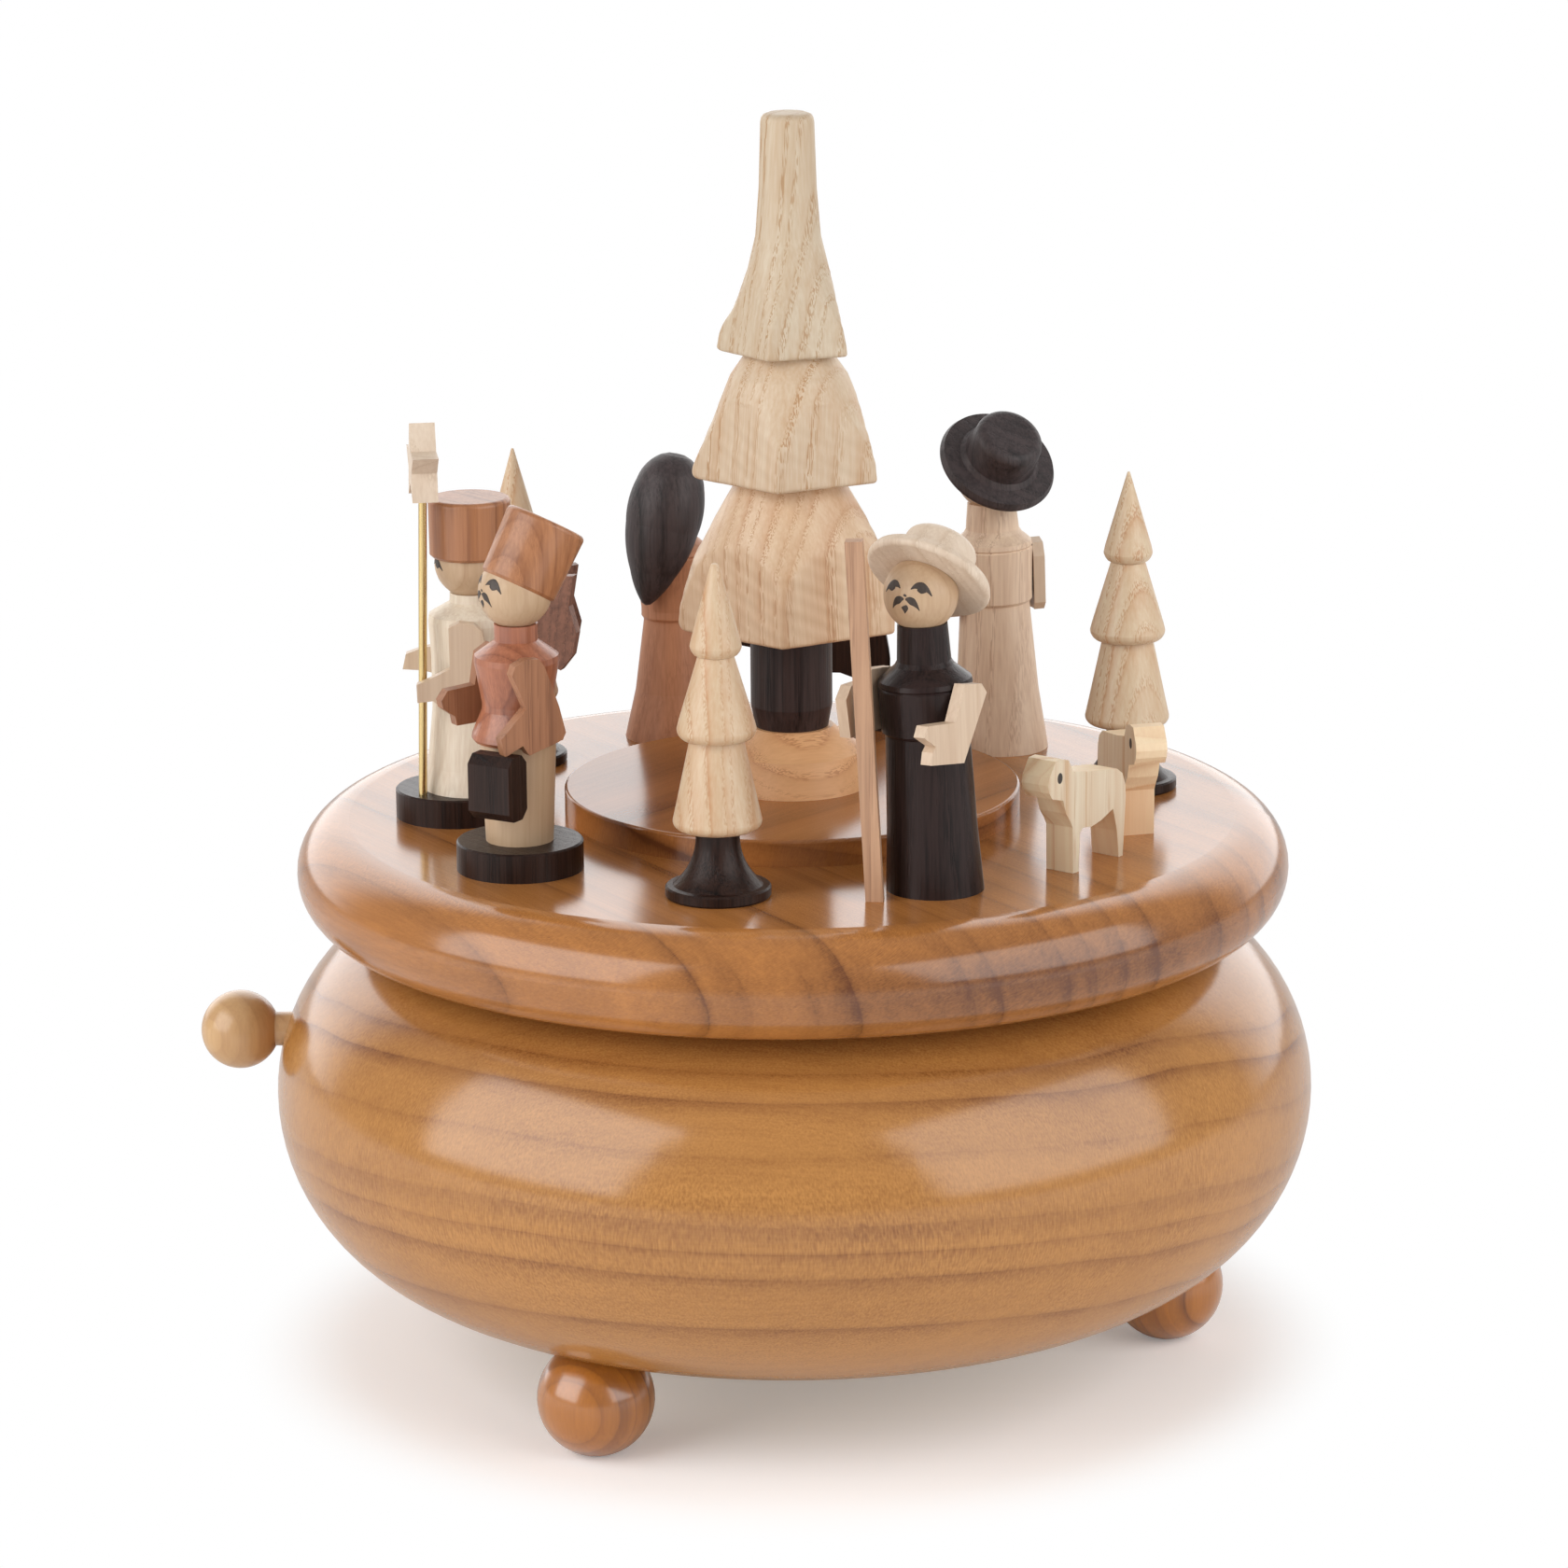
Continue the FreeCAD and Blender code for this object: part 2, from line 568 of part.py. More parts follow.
def stop_wire():
    """A bent wire from the end of the rod to the edge of the fan's circle."""
    bend = 3 * STOP_WIRE_R
    slack = bend * (1 - math.sqrt(0.5))
    start = V(STOP_WIRE_X, ROD_R / 2, KNOB_Z)
    corner = V(STOP_WIRE_X, FAN_Y + bend, KNOB_Z)
    after = V(STOP_WIRE_X + bend, FAN_Y, KNOB_Z)
    path = Part.Wire([Part.makeLine(start, corner),
                      Part.Arc(corner, V(STOP_WIRE_X + slack, FAN_Y + slack, KNOB_Z), after).toShape(),
                      Part.makeLine(after, V(STOP_TIP_X, FAN_Y, KNOB_Z))])
    ring = Part.Wire([Part.makeCircle(STOP_WIRE_R, start, V(0, 1, 0))])
    return path.makePipeShell([ring], True, False)


# Trees

TRUNK_Z = DISC_TOP_Z + 10.4
TENON_R = 3.5
TENON_H = 7.0
TIER_Z = (TRUNK_Z + 17.3, TRUNK_Z + 43.8, TRUNK_Z + 65.8)


def whittled_tier(base_z, profile, flats, lean, reach):
    """A turned bell with flats whittled up from its hem, each given by an azimuth and a distance."""
    tier = turned([(0, 0)] + profile)
    for azimuth, distance in flats:
        chip = box(distance, distance + 30, -30, 30, -20, reach)
        chip.rotate(V(distance, 0, 0), V(0, -1, 0), lean)
        tier = tier.cut(at(chip, 0, 0, 0, azimuth))
    tier.translate(V(0, 0, base_z))
    return tier


def tree_base():
    z = DISC_TOP_Z
    return turned([(0, z), (13.5, z), (12.4, z + 6.3), (11.4, z + 6.9), (7.2, TRUNK_Z), (0, TRUNK_Z)])


def tree_trunk():
    z = TIER_Z[0]
    return turned([(0, TRUNK_Z), (6.4, TRUNK_Z), (7.1, TRUNK_Z + 3.8), (7.1, z), (TENON_R, z),
                   (TENON_R, z + TENON_H), (0, z + TENON_H)])


def tree_tiers():
    """The ridge between two flats stands furthest out where the flats are furthest apart."""
    low_h = TIER_Z[1] - TIER_Z[0]
    middle_h = TIER_Z[2] - TIER_Z[1]
    low = whittled_tier(TIER_Z[0], [
        (19.2, 0), (19.8, 1.5), (19.2, 4.8), (17.0, 12.0), (13.1, 19.4), (9.0, low_h), (0, low_h)],
        ((-131, 14.6), (-59, 14.7), (20, 14.9), (82, 15.2), (143, 14.8)), 0.5, 20)
    middle = whittled_tier(TIER_Z[1], [
        (16.7, 0), (17.4, 1.2), (15.7, 4.5), (13.0, 10.8), (10.1, 18.0), (7.3, middle_h), (0, middle_h)],
        ((-135, 12.6), (-62, 12.7), (17, 12.7), (80, 13.0), (139, 12.8)), 5.0, 14)
    top = whittled_tier(TIER_Z[2], [
        (12.3, 0), (13.1, 1.1), (11.7, 4.2), (9.5, 7.6), (7.0, 14.2), (5.6, 20.0), (4.95, 28.2),
        (4.6, 39.4), (4.25, 40.6, 3.3, 41.0), (0, 41.0)],
        ((-143, 9.6), (-71, 9.5), (5, 9.6), (72, 10.0), (135, 9.9)), 9.5, 13)
    tenon = tube(TENON_R, TIER_Z[0], TIER_Z[0] + TENON_H)
    return low.cut(tenon), middle, top


FIRS = ((57.9, -102.4), (60.6, 12.6), (60.5, 144.6))
FIR_TIPS = ((56.0, 0.9), (56.6, 0.3), (57.3, 0.3))
FIR_FOOT_H = 11.3
FIR_FLANGE_H = 1.9
FIR_NECK_R = 3.7


def fir_crown(tip_h, tip_r):
    """Three stacked cones with rounded hems, turned in one piece. Each fir ends at its own height."""
    z = LID_TOP_Z + FIR_FOOT_H
    tip = LID_TOP_Z + tip_h
    return turned([
        (0, z), (FIR_NECK_R, z), (6.4, z + 0.2), (7.1, z + 0.7, 7.4, z + 1.7), (7.1, z + 3.0),
        (4.5, z + 15.2), (5.7, z + 15.5), (6.3, z + 16.1, 6.6, z + 17.1), (6.3, z + 18.3),
        (3.0, z + 29.3), (3.6, z + 29.6), (4.05, z + 30.2, 4.3, z + 31.0), (4.05, z + 32.2),
        (tip_r, tip - tip_r), (0.6 * tip_r, tip), (0, tip)])


def fir_foot():
    z = LID_TOP_Z
    top = z + FIR_FLANGE_H
    return turned([(0, z), (8.6, z), (8.8, z + 0.3), (8.8, top - 0.3), (8.5, top), (7.5, top + 0.1),
                   (5.05, top + 3.0, FIR_NECK_R, z + FIR_FOOT_H), (0, z + FIR_FOOT_H)])


def fir_places():
    return [polar(ring, azimuth) for ring, azimuth in FIRS]


def fir_crowns():
    return [at(fir_crown(*tip), x, y) for tip, (x, y) in zip(FIR_TIPS, fir_places())]


# Figures on the ring: each is drawn about its own axis with heights above the lid, then placed

ANGEL = (-55.2, -2.4, 180)
ANGEL_PLINTH = (-58.3, -2.4)
LANTERN = (-45.9, -38.3, -150)
VEILED = (-21.6, 53.3, 90)
SHEPHERD = (23.5, -53.1, -124)
HERDER = (37.8, 43.3, 104)
PLINTH_R = 10.7
PLINTH_H = 5.0
HEAD_R = 6.2
ARM_T = 2.1
ARM_LET = 0.35
HAT_LIFT = 2.7
SHEPHERD_LEAN = (180, 2.6)
STICK_LEAN = (180, 3.0)
SHEPHERD_NECK_H = 45.1
HERDER_LEAN = (180, 1.9)
HERDER_NECK_H = 45.2


def on_ring(shape, figure):
    return at(shape, figure[0], figure[1], LID_TOP_Z, figure[2])


def plinth(x, y):
    shape = turned([(0, 0), (PLINTH_R, 0), (PLINTH_R, PLINTH_H - 0.3), (PLINTH_R - 0.3, PLINTH_H),
                    (0, PLINTH_H)])
    return at(shape, x, y, LID_TOP_Z)


def robe(skirt, waist_h, body_r, shoulder_r, shoulder_h, neck, top_h):
    """A turned robe: a flared skirt, an undercut waist, a scored shoulder line and a tapered neck."""
    foot_r, waist_r = skirt
    neck_low_r, neck_top_r = neck
    neck_z = shoulder_h + 0.8 * (shoulder_r - neck_low_r)
    return turned([(0, 0), (foot_r, 0), (foot_r - 0.55 * (foot_r - waist_r), 0.4 * waist_h),
                   (waist_r, waist_h - 0.4), (waist_r, waist_h), (body_r, waist_h + 0.6),
                   (body_r, waist_h + 2), (shoulder_r, shoulder_h - 1.4),
                   (shoulder_r - 0.22, shoulder_h - 1.1), (shoulder_r, shoulder_h - 0.8),
                   (shoulder_r - 0.15, shoulder_h), (neck_low_r + 0.5, neck_z - 0.4),
                   (neck_low_r, neck_z + 0.4), (neck_top_r, top_h), (0, top_h)])


def head(neck_top, sink, hat_seat=None):
    """A ball set down over the neck by 'sink', cut flat where the neck meets it and under a drum hat."""
    centre_h = neck_top + HEAD_R - sink
    ball = Part.makeSphere(HEAD_R, V(0, 0, centre_h))
    ball = ball.cut(tube(HEAD_R, centre_h - HEAD_R, neck_top))
    if hat_seat is not None:
        ball = ball.cut(tube(HEAD_R + 1, hat_seat, centre_h + HEAD_R))
    return ball


def drum_hat(low_r, top_r, seat, height):
    top = seat + height
    return turned([(0, seat), (low_r - 0.5, seat), (low_r, seat + 0.5), (top_r, top - 0.8),
                   (top_r - 0.25, top - 0.25, top_r - 0.8, top), (0, top)])


def brimmed_hat(seat, crown_h):
    """A turned hat: a thick rounded brim under a low crown with a soft edge."""
    brim_r, crown_r = 10.7, 6.4
    hat = turned([(0, 0), (brim_r - 0.8, 0), (brim_r - 0.1, 0.4, brim_r, 1.1), (brim_r - 0.4, 2.0),
                  (crown_r + 1.0, 2.3), (crown_r + 0.2, 3.1), (crown_r - 0.2, crown_h - 1.9),
                  (crown_r - 0.7, crown_h - 0.6, crown_r - 2.2, crown_h), (0, crown_h)])
    hat.translate(V(0, 0, seat))
    return hat


def tipped_back(shape, pivot_h, angle, sideways=0):
    """Leans a piece backwards about a point on the figure's own axis, which faces +X."""
    return tilted(shape, (0, 0, pivot_h), 180 + sideways, angle)


def side_arm(outline, side, body_r):
    """A sawn arm of (forward, height) points, hollowed to fit one side of a round body. +1 is the left."""
    near = body_r - ARM_LET
    arm = plate(outline, near, near + ARM_T) if side > 0 else plate(outline, -near - ARM_T, -near)
    low = min(z for x, z in outline)
    high = max(z for x, z in outline)
    return arm.cut(tube(body_r + 0.01, low - 1, high + 1))


# Angel with the star staff

ANGEL_BODY_R = 7.5
ANGEL_NECK_H = 39.6
ANGEL_HAT_SEAT = 46.0
STAFF_R = 0.72
STAFF_Y = ANGEL_BODY_R - ARM_LET - STAFF_R
STAFF_FOOT = (8.7, STAFF_Y, PLINTH_H)
STAFF_TOP = (7.5, STAFF_Y, 60.3)
STAR_T = 4.4


def angel_robe():
    shape = turned([(0, PLINTH_H), (8.9, PLINTH_H), (8.1, 9.3), (7.1, 19.3), (7.1, 28.3),
                    (ANGEL_BODY_R, 34.6), (7.3, 35.9), (3.75, 38.0), (3.65, ANGEL_NECK_H),
                    (0, ANGEL_NECK_H)])
    return on_ring(shape, ANGEL)


def angel_head():
    return on_ring(head(ANGEL_NECK_H, 0.9, ANGEL_HAT_SEAT), ANGEL)


def angel_hat():
    return on_ring(drum_hat(7.0, 7.1, ANGEL_HAT_SEAT, 10.3), ANGEL)


def angel_arms():
    near = [(3.5, 35.2), (1.7, 36.2), (-0.8, 35.9), (-2.2, 34.6), (-3.4, 28.5), (-3.2, 22.5), (1.0, 20.6),
            (4.6, 20.9), (6.4, 22.4), (9.1, 22.1), (9.2, 25.3), (7.6, 25.9), (3.4, 28.0)]
    far = [(3.5, 35.2), (1.7, 36.2), (-0.8, 35.9), (-2.2, 34.6), (-3.4, 28.5), (-2.0, 24.0), (4.0, 22.6),
           (9.1, 24.0), (12.6, 24.2), (12.0, 26.9), (9.3, 27.9), (4.0, 29.0)]
    near_arm = side_arm(near, 1, ANGEL_BODY_R)
    far_arm = side_arm(far, -1, ANGEL_BODY_R)
    return [on_ring(near_arm, ANGEL), on_ring(far_arm, ANGEL)]


def angel_staff():
    return on_ring(rod(STAFF_R, STAFF_FOOT, STAFF_TOP), ANGEL).cut(plinth(*ANGEL_PLINTH))


def angel_star():
    """A thick sawn five-pointed star standing across the staff, its hub drilled for it."""
    outer, inner, centre_h = 7.2, 3.2, 63.3
    corners = []
    for tip in range(10):
        r = outer if tip % 2 == 0 else inner
        angle = math.radians(90 + tip * 36)
        corners.append(V(-STAR_T / 2, r * math.cos(angle), r * math.sin(angle)))
    star = Part.Face(Part.makePolygon(corners + corners[:1])).extrude(V(STAR_T, 0, 0))
    star = on_ring(at(star, 7.4, STAFF_Y, centre_h, 8), ANGEL)
    return star.cut(angel_staff())


def angel_wings():
    """Two sawn wings meeting in a V behind the neck and back, drawn as (backward, height)."""
    outline = [(6.0, 35.6), (6.4, 29.8), (11.0, 28.6), (15.6, 26.6), (17.8, 29.4), (18.6, 33.4),
               (17.3, 38.0), (18.2, 43.4), (13.5, 43.0), (9.0, 40.0)]
    wings = []
    for side in (-1, 1):
        wing = plate([(-x, z) for x, z in outline], -1.0, 1.0)
        wings.append(on_ring(at(wing, -1.0, side * 1.2, 0, side * 19), ANGEL))
    tools = [angel_robe(), angel_head(), angel_hat()]
    first = drilled(wings[0], tools)
    return [first, drilled(wings[1], tools + [first])]


# Lantern bearer

JACKET_Z = 22.3
JACKET_SHOULDER_R = 7.15
JACKET_TOP = 42.2
LANTERN_HEAD_H = JACKET_TOP + 5.4
LANTERN_HAT_SEAT = LANTERN_HEAD_H + 0.9
LANTERN_TIP = (30, 29)
LANTERN_AT = (-49.0, -48.2, -120)


def lantern_trousers():
    shape = turned([(0, PLINTH_H), (5.7, PLINTH_H), (6.4, JACKET_Z), (0, JACKET_Z)])
    return on_ring(shape, LANTERN)


def lantern_jacket():
    z = JACKET_Z
    shape = turned([(0, z), (7.3, z), (7.75, z + 0.6), (7.6, z + 1.4), (5.95, z + 5.4), (5.9, z + 6.4),
                    (JACKET_SHOULDER_R, z + 13.6), (JACKET_SHOULDER_R - 0.1, z + 14.6), (3.65, z + 17.1),
                    (3.65, JACKET_TOP), (0, JACKET_TOP)])
    return on_ring(shape, LANTERN)


def lantern_tip(shape):
    """The head and its hat look up together, leaning about the middle of the head."""
    return tilted(shape, (LANTERN[0], LANTERN[1], LID_TOP_Z + LANTERN_HEAD_H), *LANTERN_TIP)


def lantern_head():
    ball = Part.makeSphere(HEAD_R, V(0, 0, LANTERN_HEAD_H))
    ball = ball.cut(tube(HEAD_R, LANTERN_HAT_SEAT, LANTERN_HAT_SEAT + HEAD_R))
    return lantern_tip(on_ring(ball, LANTERN)).cut(lantern_jacket())


def lantern_hat():
    return lantern_tip(on_ring(drum_hat(6.6, 6.95, LANTERN_HAT_SEAT, 12.0), LANTERN))


def lantern_arms():
    near = [(5.7, 35.7), (5.1, 37.2), (3.1, 38.1), (0.8, 38.0), (-0.3, 36.6), (-2.9, 29.5), (-4.1, 24.9),
            (-3.5, 23.7), (2.8, 21.8), (4.0, 23.6), (7.3, 22.1), (8.0, 25.2), (7.0, 26.1), (3.2, 29.8)]
    far = [(3.2, 36.0), (0.8, 37.4), (-1.6, 36.4), (-3.0, 30.0), (-3.6, 25.8), (4.5, 24.1), (7.6, 24.0),
           (7.9, 25.6), (10.1, 27.2), (10.4, 28.6), (9.2, 30.2), (4.1, 30.6)]
    near_arm = side_arm(near, 1, 7.75)
    far_arm = side_arm(far, -1, 7.75)
    return [on_ring(near_arm, LANTERN).cut(lantern_block()), on_ring(far_arm, LANTERN)]


def lantern_block():
    """The lantern: a block sawn to an outline with four bevelled corners."""
    half, low, high, bevel, wide = 2.8, 11.2, 22.2, 1.5, 8.0
    outline = [(-half, low + bevel), (bevel - half, low), (half - bevel, low), (half, low + bevel),
               (half, high - bevel), (half - bevel, high), (bevel - half, high), (-half, high - bevel)]
    return on_ring(plate(outline, -wide / 2, wide / 2), LANTERN_AT)


# Veiled figure, shepherd and herder

def veiled_robe():
    return on_ring(robe((8.8, 5.2), 22.1, 5.6, 6.8, 35.3, (3.8, 3.6), 40.0), VEILED)


def veiled_head():
    return on_ring(head(40.0, 1.3), VEILED)


def veil():
    """A pointed almond of wood behind the head, hollowed for the head and open in front of the face."""
    drop = turned([(0, 0), (0.8, 0.3), (2.4, 2.4, 4.1, 5.8), (5.7, 9.7, 6.6, 14.2),
                   (6.9, 18.6, 6.2, 22.4), (4.8, 25.6, 2.7, 27.5), (1.4, 28.0), (0, 28.1)])
    drop = tilted(drop, (0, 0, 0), 38, 15.5)
    drop = at(drop, VEILED[0] - 4.6, VEILED[1] - 7.4, LID_TOP_Z + 26.0)
    x, y, z = VEILED[0], VEILED[1], LID_TOP_Z
    open_front = box(x - 12, x + 12, y + 1.2, y + 12, z, z + 60)
    return drilled(drop, [open_front, veiled_head(), veiled_robe()])


def lean_shepherd(shape):
    return tilted(shape, (SHEPHERD[0], SHEPHERD[1], LID_TOP_Z), *SHEPHERD_LEAN)


def ring_floor():
    return tube(LID_FLAT_R, LID_TOP_Z - 4, LID_TOP_Z)


def shepherd_robe():
    shape = robe((8.15, 7.0), 26.7, 7.6, 7.85, 35.9, (4.5, 4.15), SHEPHERD_NECK_H)
    skirt_end = tube(8.15, -0.6, 0)
    return lean_shepherd(on_ring(joined([shape, skirt_end]), SHEPHERD)).cut(ring_floor())


def shepherd_head():
    return lean_shepherd(on_ring(head(SHEPHERD_NECK_H, 1.3), SHEPHERD))


def shepherd_hat():
    centre_h = SHEPHERD_NECK_H + HEAD_R - 1.3
    hat = tipped_back(brimmed_hat(centre_h + HAT_LIFT, 8.0), centre_h, 47)
    return lean_shepherd(on_ring(hat, SHEPHERD)).cut(shepherd_head())


def shepherd_arms():
    near = [(2.8, 36.2), (-2.2, 35.2), (-3.6, 33.4), (4.2, 23.3), (14.0, 25.2), (13.4, 27.2), (12.4, 28.0),
            (15.7, 30.2), (14.6, 31.9), (6.2, 30.6)]
    far = [(4.2, 37.6), (-2.2, 36.6), (-3.6, 34.4), (0.6, 27.0), (11.6, 27.6), (12.4, 34.2), (10.6, 36.2),
           (6.0, 36.0)]
    near_arm = lean_shepherd(on_ring(side_arm(near, 1, 7.85), SHEPHERD))
    far_arm = lean_shepherd(on_ring(side_arm(far, -1, 7.85), SHEPHERD))
    return [near_arm, far_arm.cut(shepherd_staff())]


def shepherd_staff():
    """A square stick that stands on the lid beside the shepherd and leans into the far arm."""
    x, y = 13.4, -60.2
    stick = at(box(-1.45, 1.45, -1.45, 1.45, -0.6, 60.6), x, y, LID_TOP_Z, -96)
    return tilted(stick, (x, y, LID_TOP_Z), *STICK_LEAN).cut(ring_floor())


def lean_herder(shape):
    return tilted(shape, (HERDER[0], HERDER[1], LID_TOP_Z), *HERDER_LEAN)


def herder_robe():
    shape = robe((8.8, 6.3), 26.9, 6.8, 7.1, 38.2, (4.8, 4.35), HERDER_NECK_H)
    skirt_end = tube(8.8, -0.6, 0)
    return lean_herder(on_ring(joined([shape, skirt_end]), HERDER)).cut(ring_floor())


def herder_head():
    return lean_herder(on_ring(head(HERDER_NECK_H, 1.3), HERDER))


def herder_hat():
    centre_h = HERDER_NECK_H + HEAD_R - 1.3
    hat = tipped_back(brimmed_hat(centre_h + HAT_LIFT, 9.2), centre_h, 43, 14)
    return lean_herder(on_ring(hat, HERDER)).cut(herder_head())


def herder_arms():
    outline = [(2.4, 36.4), (0.4, 38.0), (-1.8, 37.4), (-2.8, 35.0), (-2.6, 26.4), (-1.4, 25.0), (8.6, 24.8),
               (9.4, 28.0), (3.2, 28.8)]
    return [lean_herder(on_ring(side_arm(outline, side, 7.1), HERDER)) for side in (-1, 1)]


# Animals

SHEEP = ((48.6, -38.3, -128.5), (57.7, -14.0, -76))
SHEEP_W = 5.5
DONKEY = (6.0, 57.0, 180)
DONKEY_W = 7.6


def sheep():
    """A sheep sawn from its side outline: body, two leg pairs and a raised head."""
    outline = [(-8.0, 0), (-6.8, 0), (-6.3, 4.6), (-5.1, 8.8), (-1.6, 7.5), (1.1, 7.0), (3.6, 7.3),
               (4.4, 6.6), (4.7, 0), (6.4, 0), (6.5, 7.9), (7.2, 9.1), (8.4, 10.7), (9.3, 13.2),
               (12.3, 14.0), (13.2, 15.2), (13.5, 16.5), (13.2, 17.8), (12.6, 18.6), (11.5, 20.3),
               (9.7, 20.4), (7.7, 19.8), (6.5, 17.6), (2.6, 16.8), (-6.2, 15.5), (-7.8, 14.4),
               (-8.6, 12.5), (-8.8, 10.2), (-8.5, 6.5)]
    return plate(outline, -SHEEP_W / 2, SHEEP_W / 2)


def donkey():
    """The larger pack animal behind the tree, sawn the same way."""
    outline = [(-12.0, 0), (-9.4, 0), (-7.6, 9.6), (-3.0, 11.4), (5.2, 11.6), (6.6, 9.0), (7.4, 0),
               (10.0, 0), (10.6, 10.0), (11.8, 16.0), (15.6, 16.8), (19.4, 14.8), (21.0, 16.6),
               (16.0, 24.6), (14.2, 25.0), (13.0, 30.0), (11.4, 29.6), (11.0, 25.4), (6.4, 21.2),
               (-8.6, 20.6), (-11.4, 18.6), (-12.2, 14.0)]
    return plate(outline, -DONKEY_W / 2, DONKEY_W / 2)


def build():
    os.makedirs("parts", exist_ok=True)
    save("bowl", [bowl()])
    save("ball_feet", [foot_ball(x, y).cut(foot_dowel(x, y)) for x, y in foot_places()])
    save("foot_dowels", [foot_dowel(x, y) for x, y in foot_places()])
    save("base_board", [base_board()])
    save("wood_screws", [wood_screw(x, y) for x, y in wood_screw_places()])
    save("spindle_bush", [spindle_bush()])
    save("bedplate", [bedplate()])
    save("comb", [comb()])
    save("comb_block", [comb_block()])
    save("machine_screws", machine_screws())
    save("cylinder_bearings", [bearing(x) for x in bearing_xs()])
    save("governor_frame", [governor_frame()])
    save("winding_key", [winding_key()])
    save("winding_arbor", [winding_arbor()])
    save("stop_knob", [stop_knob()])
    save("stop_rod", [stop_rod()])
    save("stop_wire", [stop_wire()])
    save("spring_barrel", [spring_barrel()])
    save("barrel_cap", [barrel_cap()])
    save("mainspring", [mainspring()])
    save("spindle", [spindle()])
    save("hub_flange", [hub_flange()])
    save("hub_screws", hub_screws())
    save("lid", [lid()])
    save("centre_disc", [centre_disc()])
    save("tree_base", [tree_base()])
    save("tree_trunk", [tree_trunk()])
    for name, tier in zip(("tree_tier_low", "tree_tier_middle", "tree_tier_top"), tree_tiers()):
        save(name, [tier])
    save("fir_crowns", fir_crowns())
    save("fir_feet", [at(fir_foot(), x, y) for x, y in fir_places()])
    save("figure_heads", [angel_head(), lantern_head(), veiled_head(), shepherd_head(), herder_head()])
    save("plinths", [plinth(*ANGEL_PLINTH), plinth(*LANTERN[:2])])
    save("drum_hats", [angel_hat(), lantern_hat()])
    save("light_arms", angel_arms() + shepherd_arms() + herder_arms())
    save("angel_robe", [angel_robe()])
    save("angel_wings", angel_wings())
    save("angel_staff", [angel_staff()])
    save("angel_star", [angel_star()])
    save("lantern_trousers", [lantern_trousers()])
    save("lantern_jacket", [lantern_jacket()])
    save("lantern_arms", lantern_arms())
    save("lantern", [lantern_block()])
    save("veiled_robe", [veiled_robe()])
    save("veil", [veil()])
    save("shepherd_robe", [shepherd_robe()])
    save("shepherd_hat", [shepherd_hat()])
    save("shepherd_staff", [shepherd_staff()])
    save("herder_robe", [herder_robe()])
    save("herder_hat", [herder_hat()])
    save("sheep", [on_ring(sheep(), place) for place in SHEEP])
    save("donkey", [on_ring(donkey(), DONKEY)])
    save("cylinder", [cylinder()])
    save("cylinder_pins", cylinder_pins())
    save("cylinder_arbor", [cylinder_arbor()])
    save("cylinder_wheel", [cylinder_wheel()])
    save("governor_arbor", [governor_arbor()])
    save("worm_wheel", [worm_wheel()])
    save("governor_fan", [governor_fan()])


build()
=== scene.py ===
# %% [markdown]
# # A wooden music box, dressed for its picture
# The solids come from the packed model: every turned, sawn and carved piece already has its true
# size and stands in its place. What is left for Blender is what the eye reads as wood: growth
# rings, fibres, stain, lacquer, the soft arrises left by a knife, and the painted faces.
# Everything here is in metres, with the origin on the turning axis at floor level.

# %% Open the frame
import json
import math
import bpy
import numpy as np
from mathutils import Matrix, Vector

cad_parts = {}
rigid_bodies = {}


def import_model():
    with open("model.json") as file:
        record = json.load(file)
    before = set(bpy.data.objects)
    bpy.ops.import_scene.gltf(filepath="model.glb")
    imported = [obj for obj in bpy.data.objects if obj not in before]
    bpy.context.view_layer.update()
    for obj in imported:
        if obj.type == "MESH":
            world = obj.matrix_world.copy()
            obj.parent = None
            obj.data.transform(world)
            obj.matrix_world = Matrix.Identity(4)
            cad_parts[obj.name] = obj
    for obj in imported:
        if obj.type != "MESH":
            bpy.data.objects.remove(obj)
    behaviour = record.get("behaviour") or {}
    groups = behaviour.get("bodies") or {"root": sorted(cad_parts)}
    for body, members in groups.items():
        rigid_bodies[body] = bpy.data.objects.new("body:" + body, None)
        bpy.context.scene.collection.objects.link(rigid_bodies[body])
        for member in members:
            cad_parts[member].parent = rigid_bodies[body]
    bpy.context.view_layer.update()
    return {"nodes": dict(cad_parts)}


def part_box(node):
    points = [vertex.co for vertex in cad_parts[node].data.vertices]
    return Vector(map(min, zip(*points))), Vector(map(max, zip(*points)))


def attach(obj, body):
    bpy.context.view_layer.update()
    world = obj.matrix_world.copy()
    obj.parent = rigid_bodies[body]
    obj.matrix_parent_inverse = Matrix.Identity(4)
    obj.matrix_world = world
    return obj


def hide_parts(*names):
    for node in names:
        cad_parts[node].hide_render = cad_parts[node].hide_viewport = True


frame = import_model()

nodes = frame["nodes"]

# %% [markdown]
# ## The camera
# The picture was taken from the front, a little above the lid, with a long lens. A long lens
# keeps the rim of the lid a calm ellipse, so the lens is set first and the distance follows.

# %% Camera
CAMERA_PLACE = (-0.001434, -0.98717, 0.35722)
CAMERA_PITCH = math.radians(75.5)
CAMERA_ROLL = -0.008
LENS_LENGTH = 134.15
FILM_WIDTH = 36.0

lens = bpy.data.cameras.new("long_lens")
lens.lens = LENS_LENGTH
lens.sensor_width = FILM_WIDTH
lens.clip_start = 0.05
camera = bpy.data.objects.new("camera", lens)
bpy.context.scene.collection.objects.link(camera)
camera.matrix_world = (Matrix.Translation(CAMERA_PLACE) @ Matrix.Rotation(CAMERA_PITCH, 4, "X")
                       @ Matrix.Rotation(CAMERA_ROLL, 4, "Z"))
bpy.context.scene.camera = camera
print("camera at", CAMERA_PLACE, "lens", LENS_LENGTH, "mm")

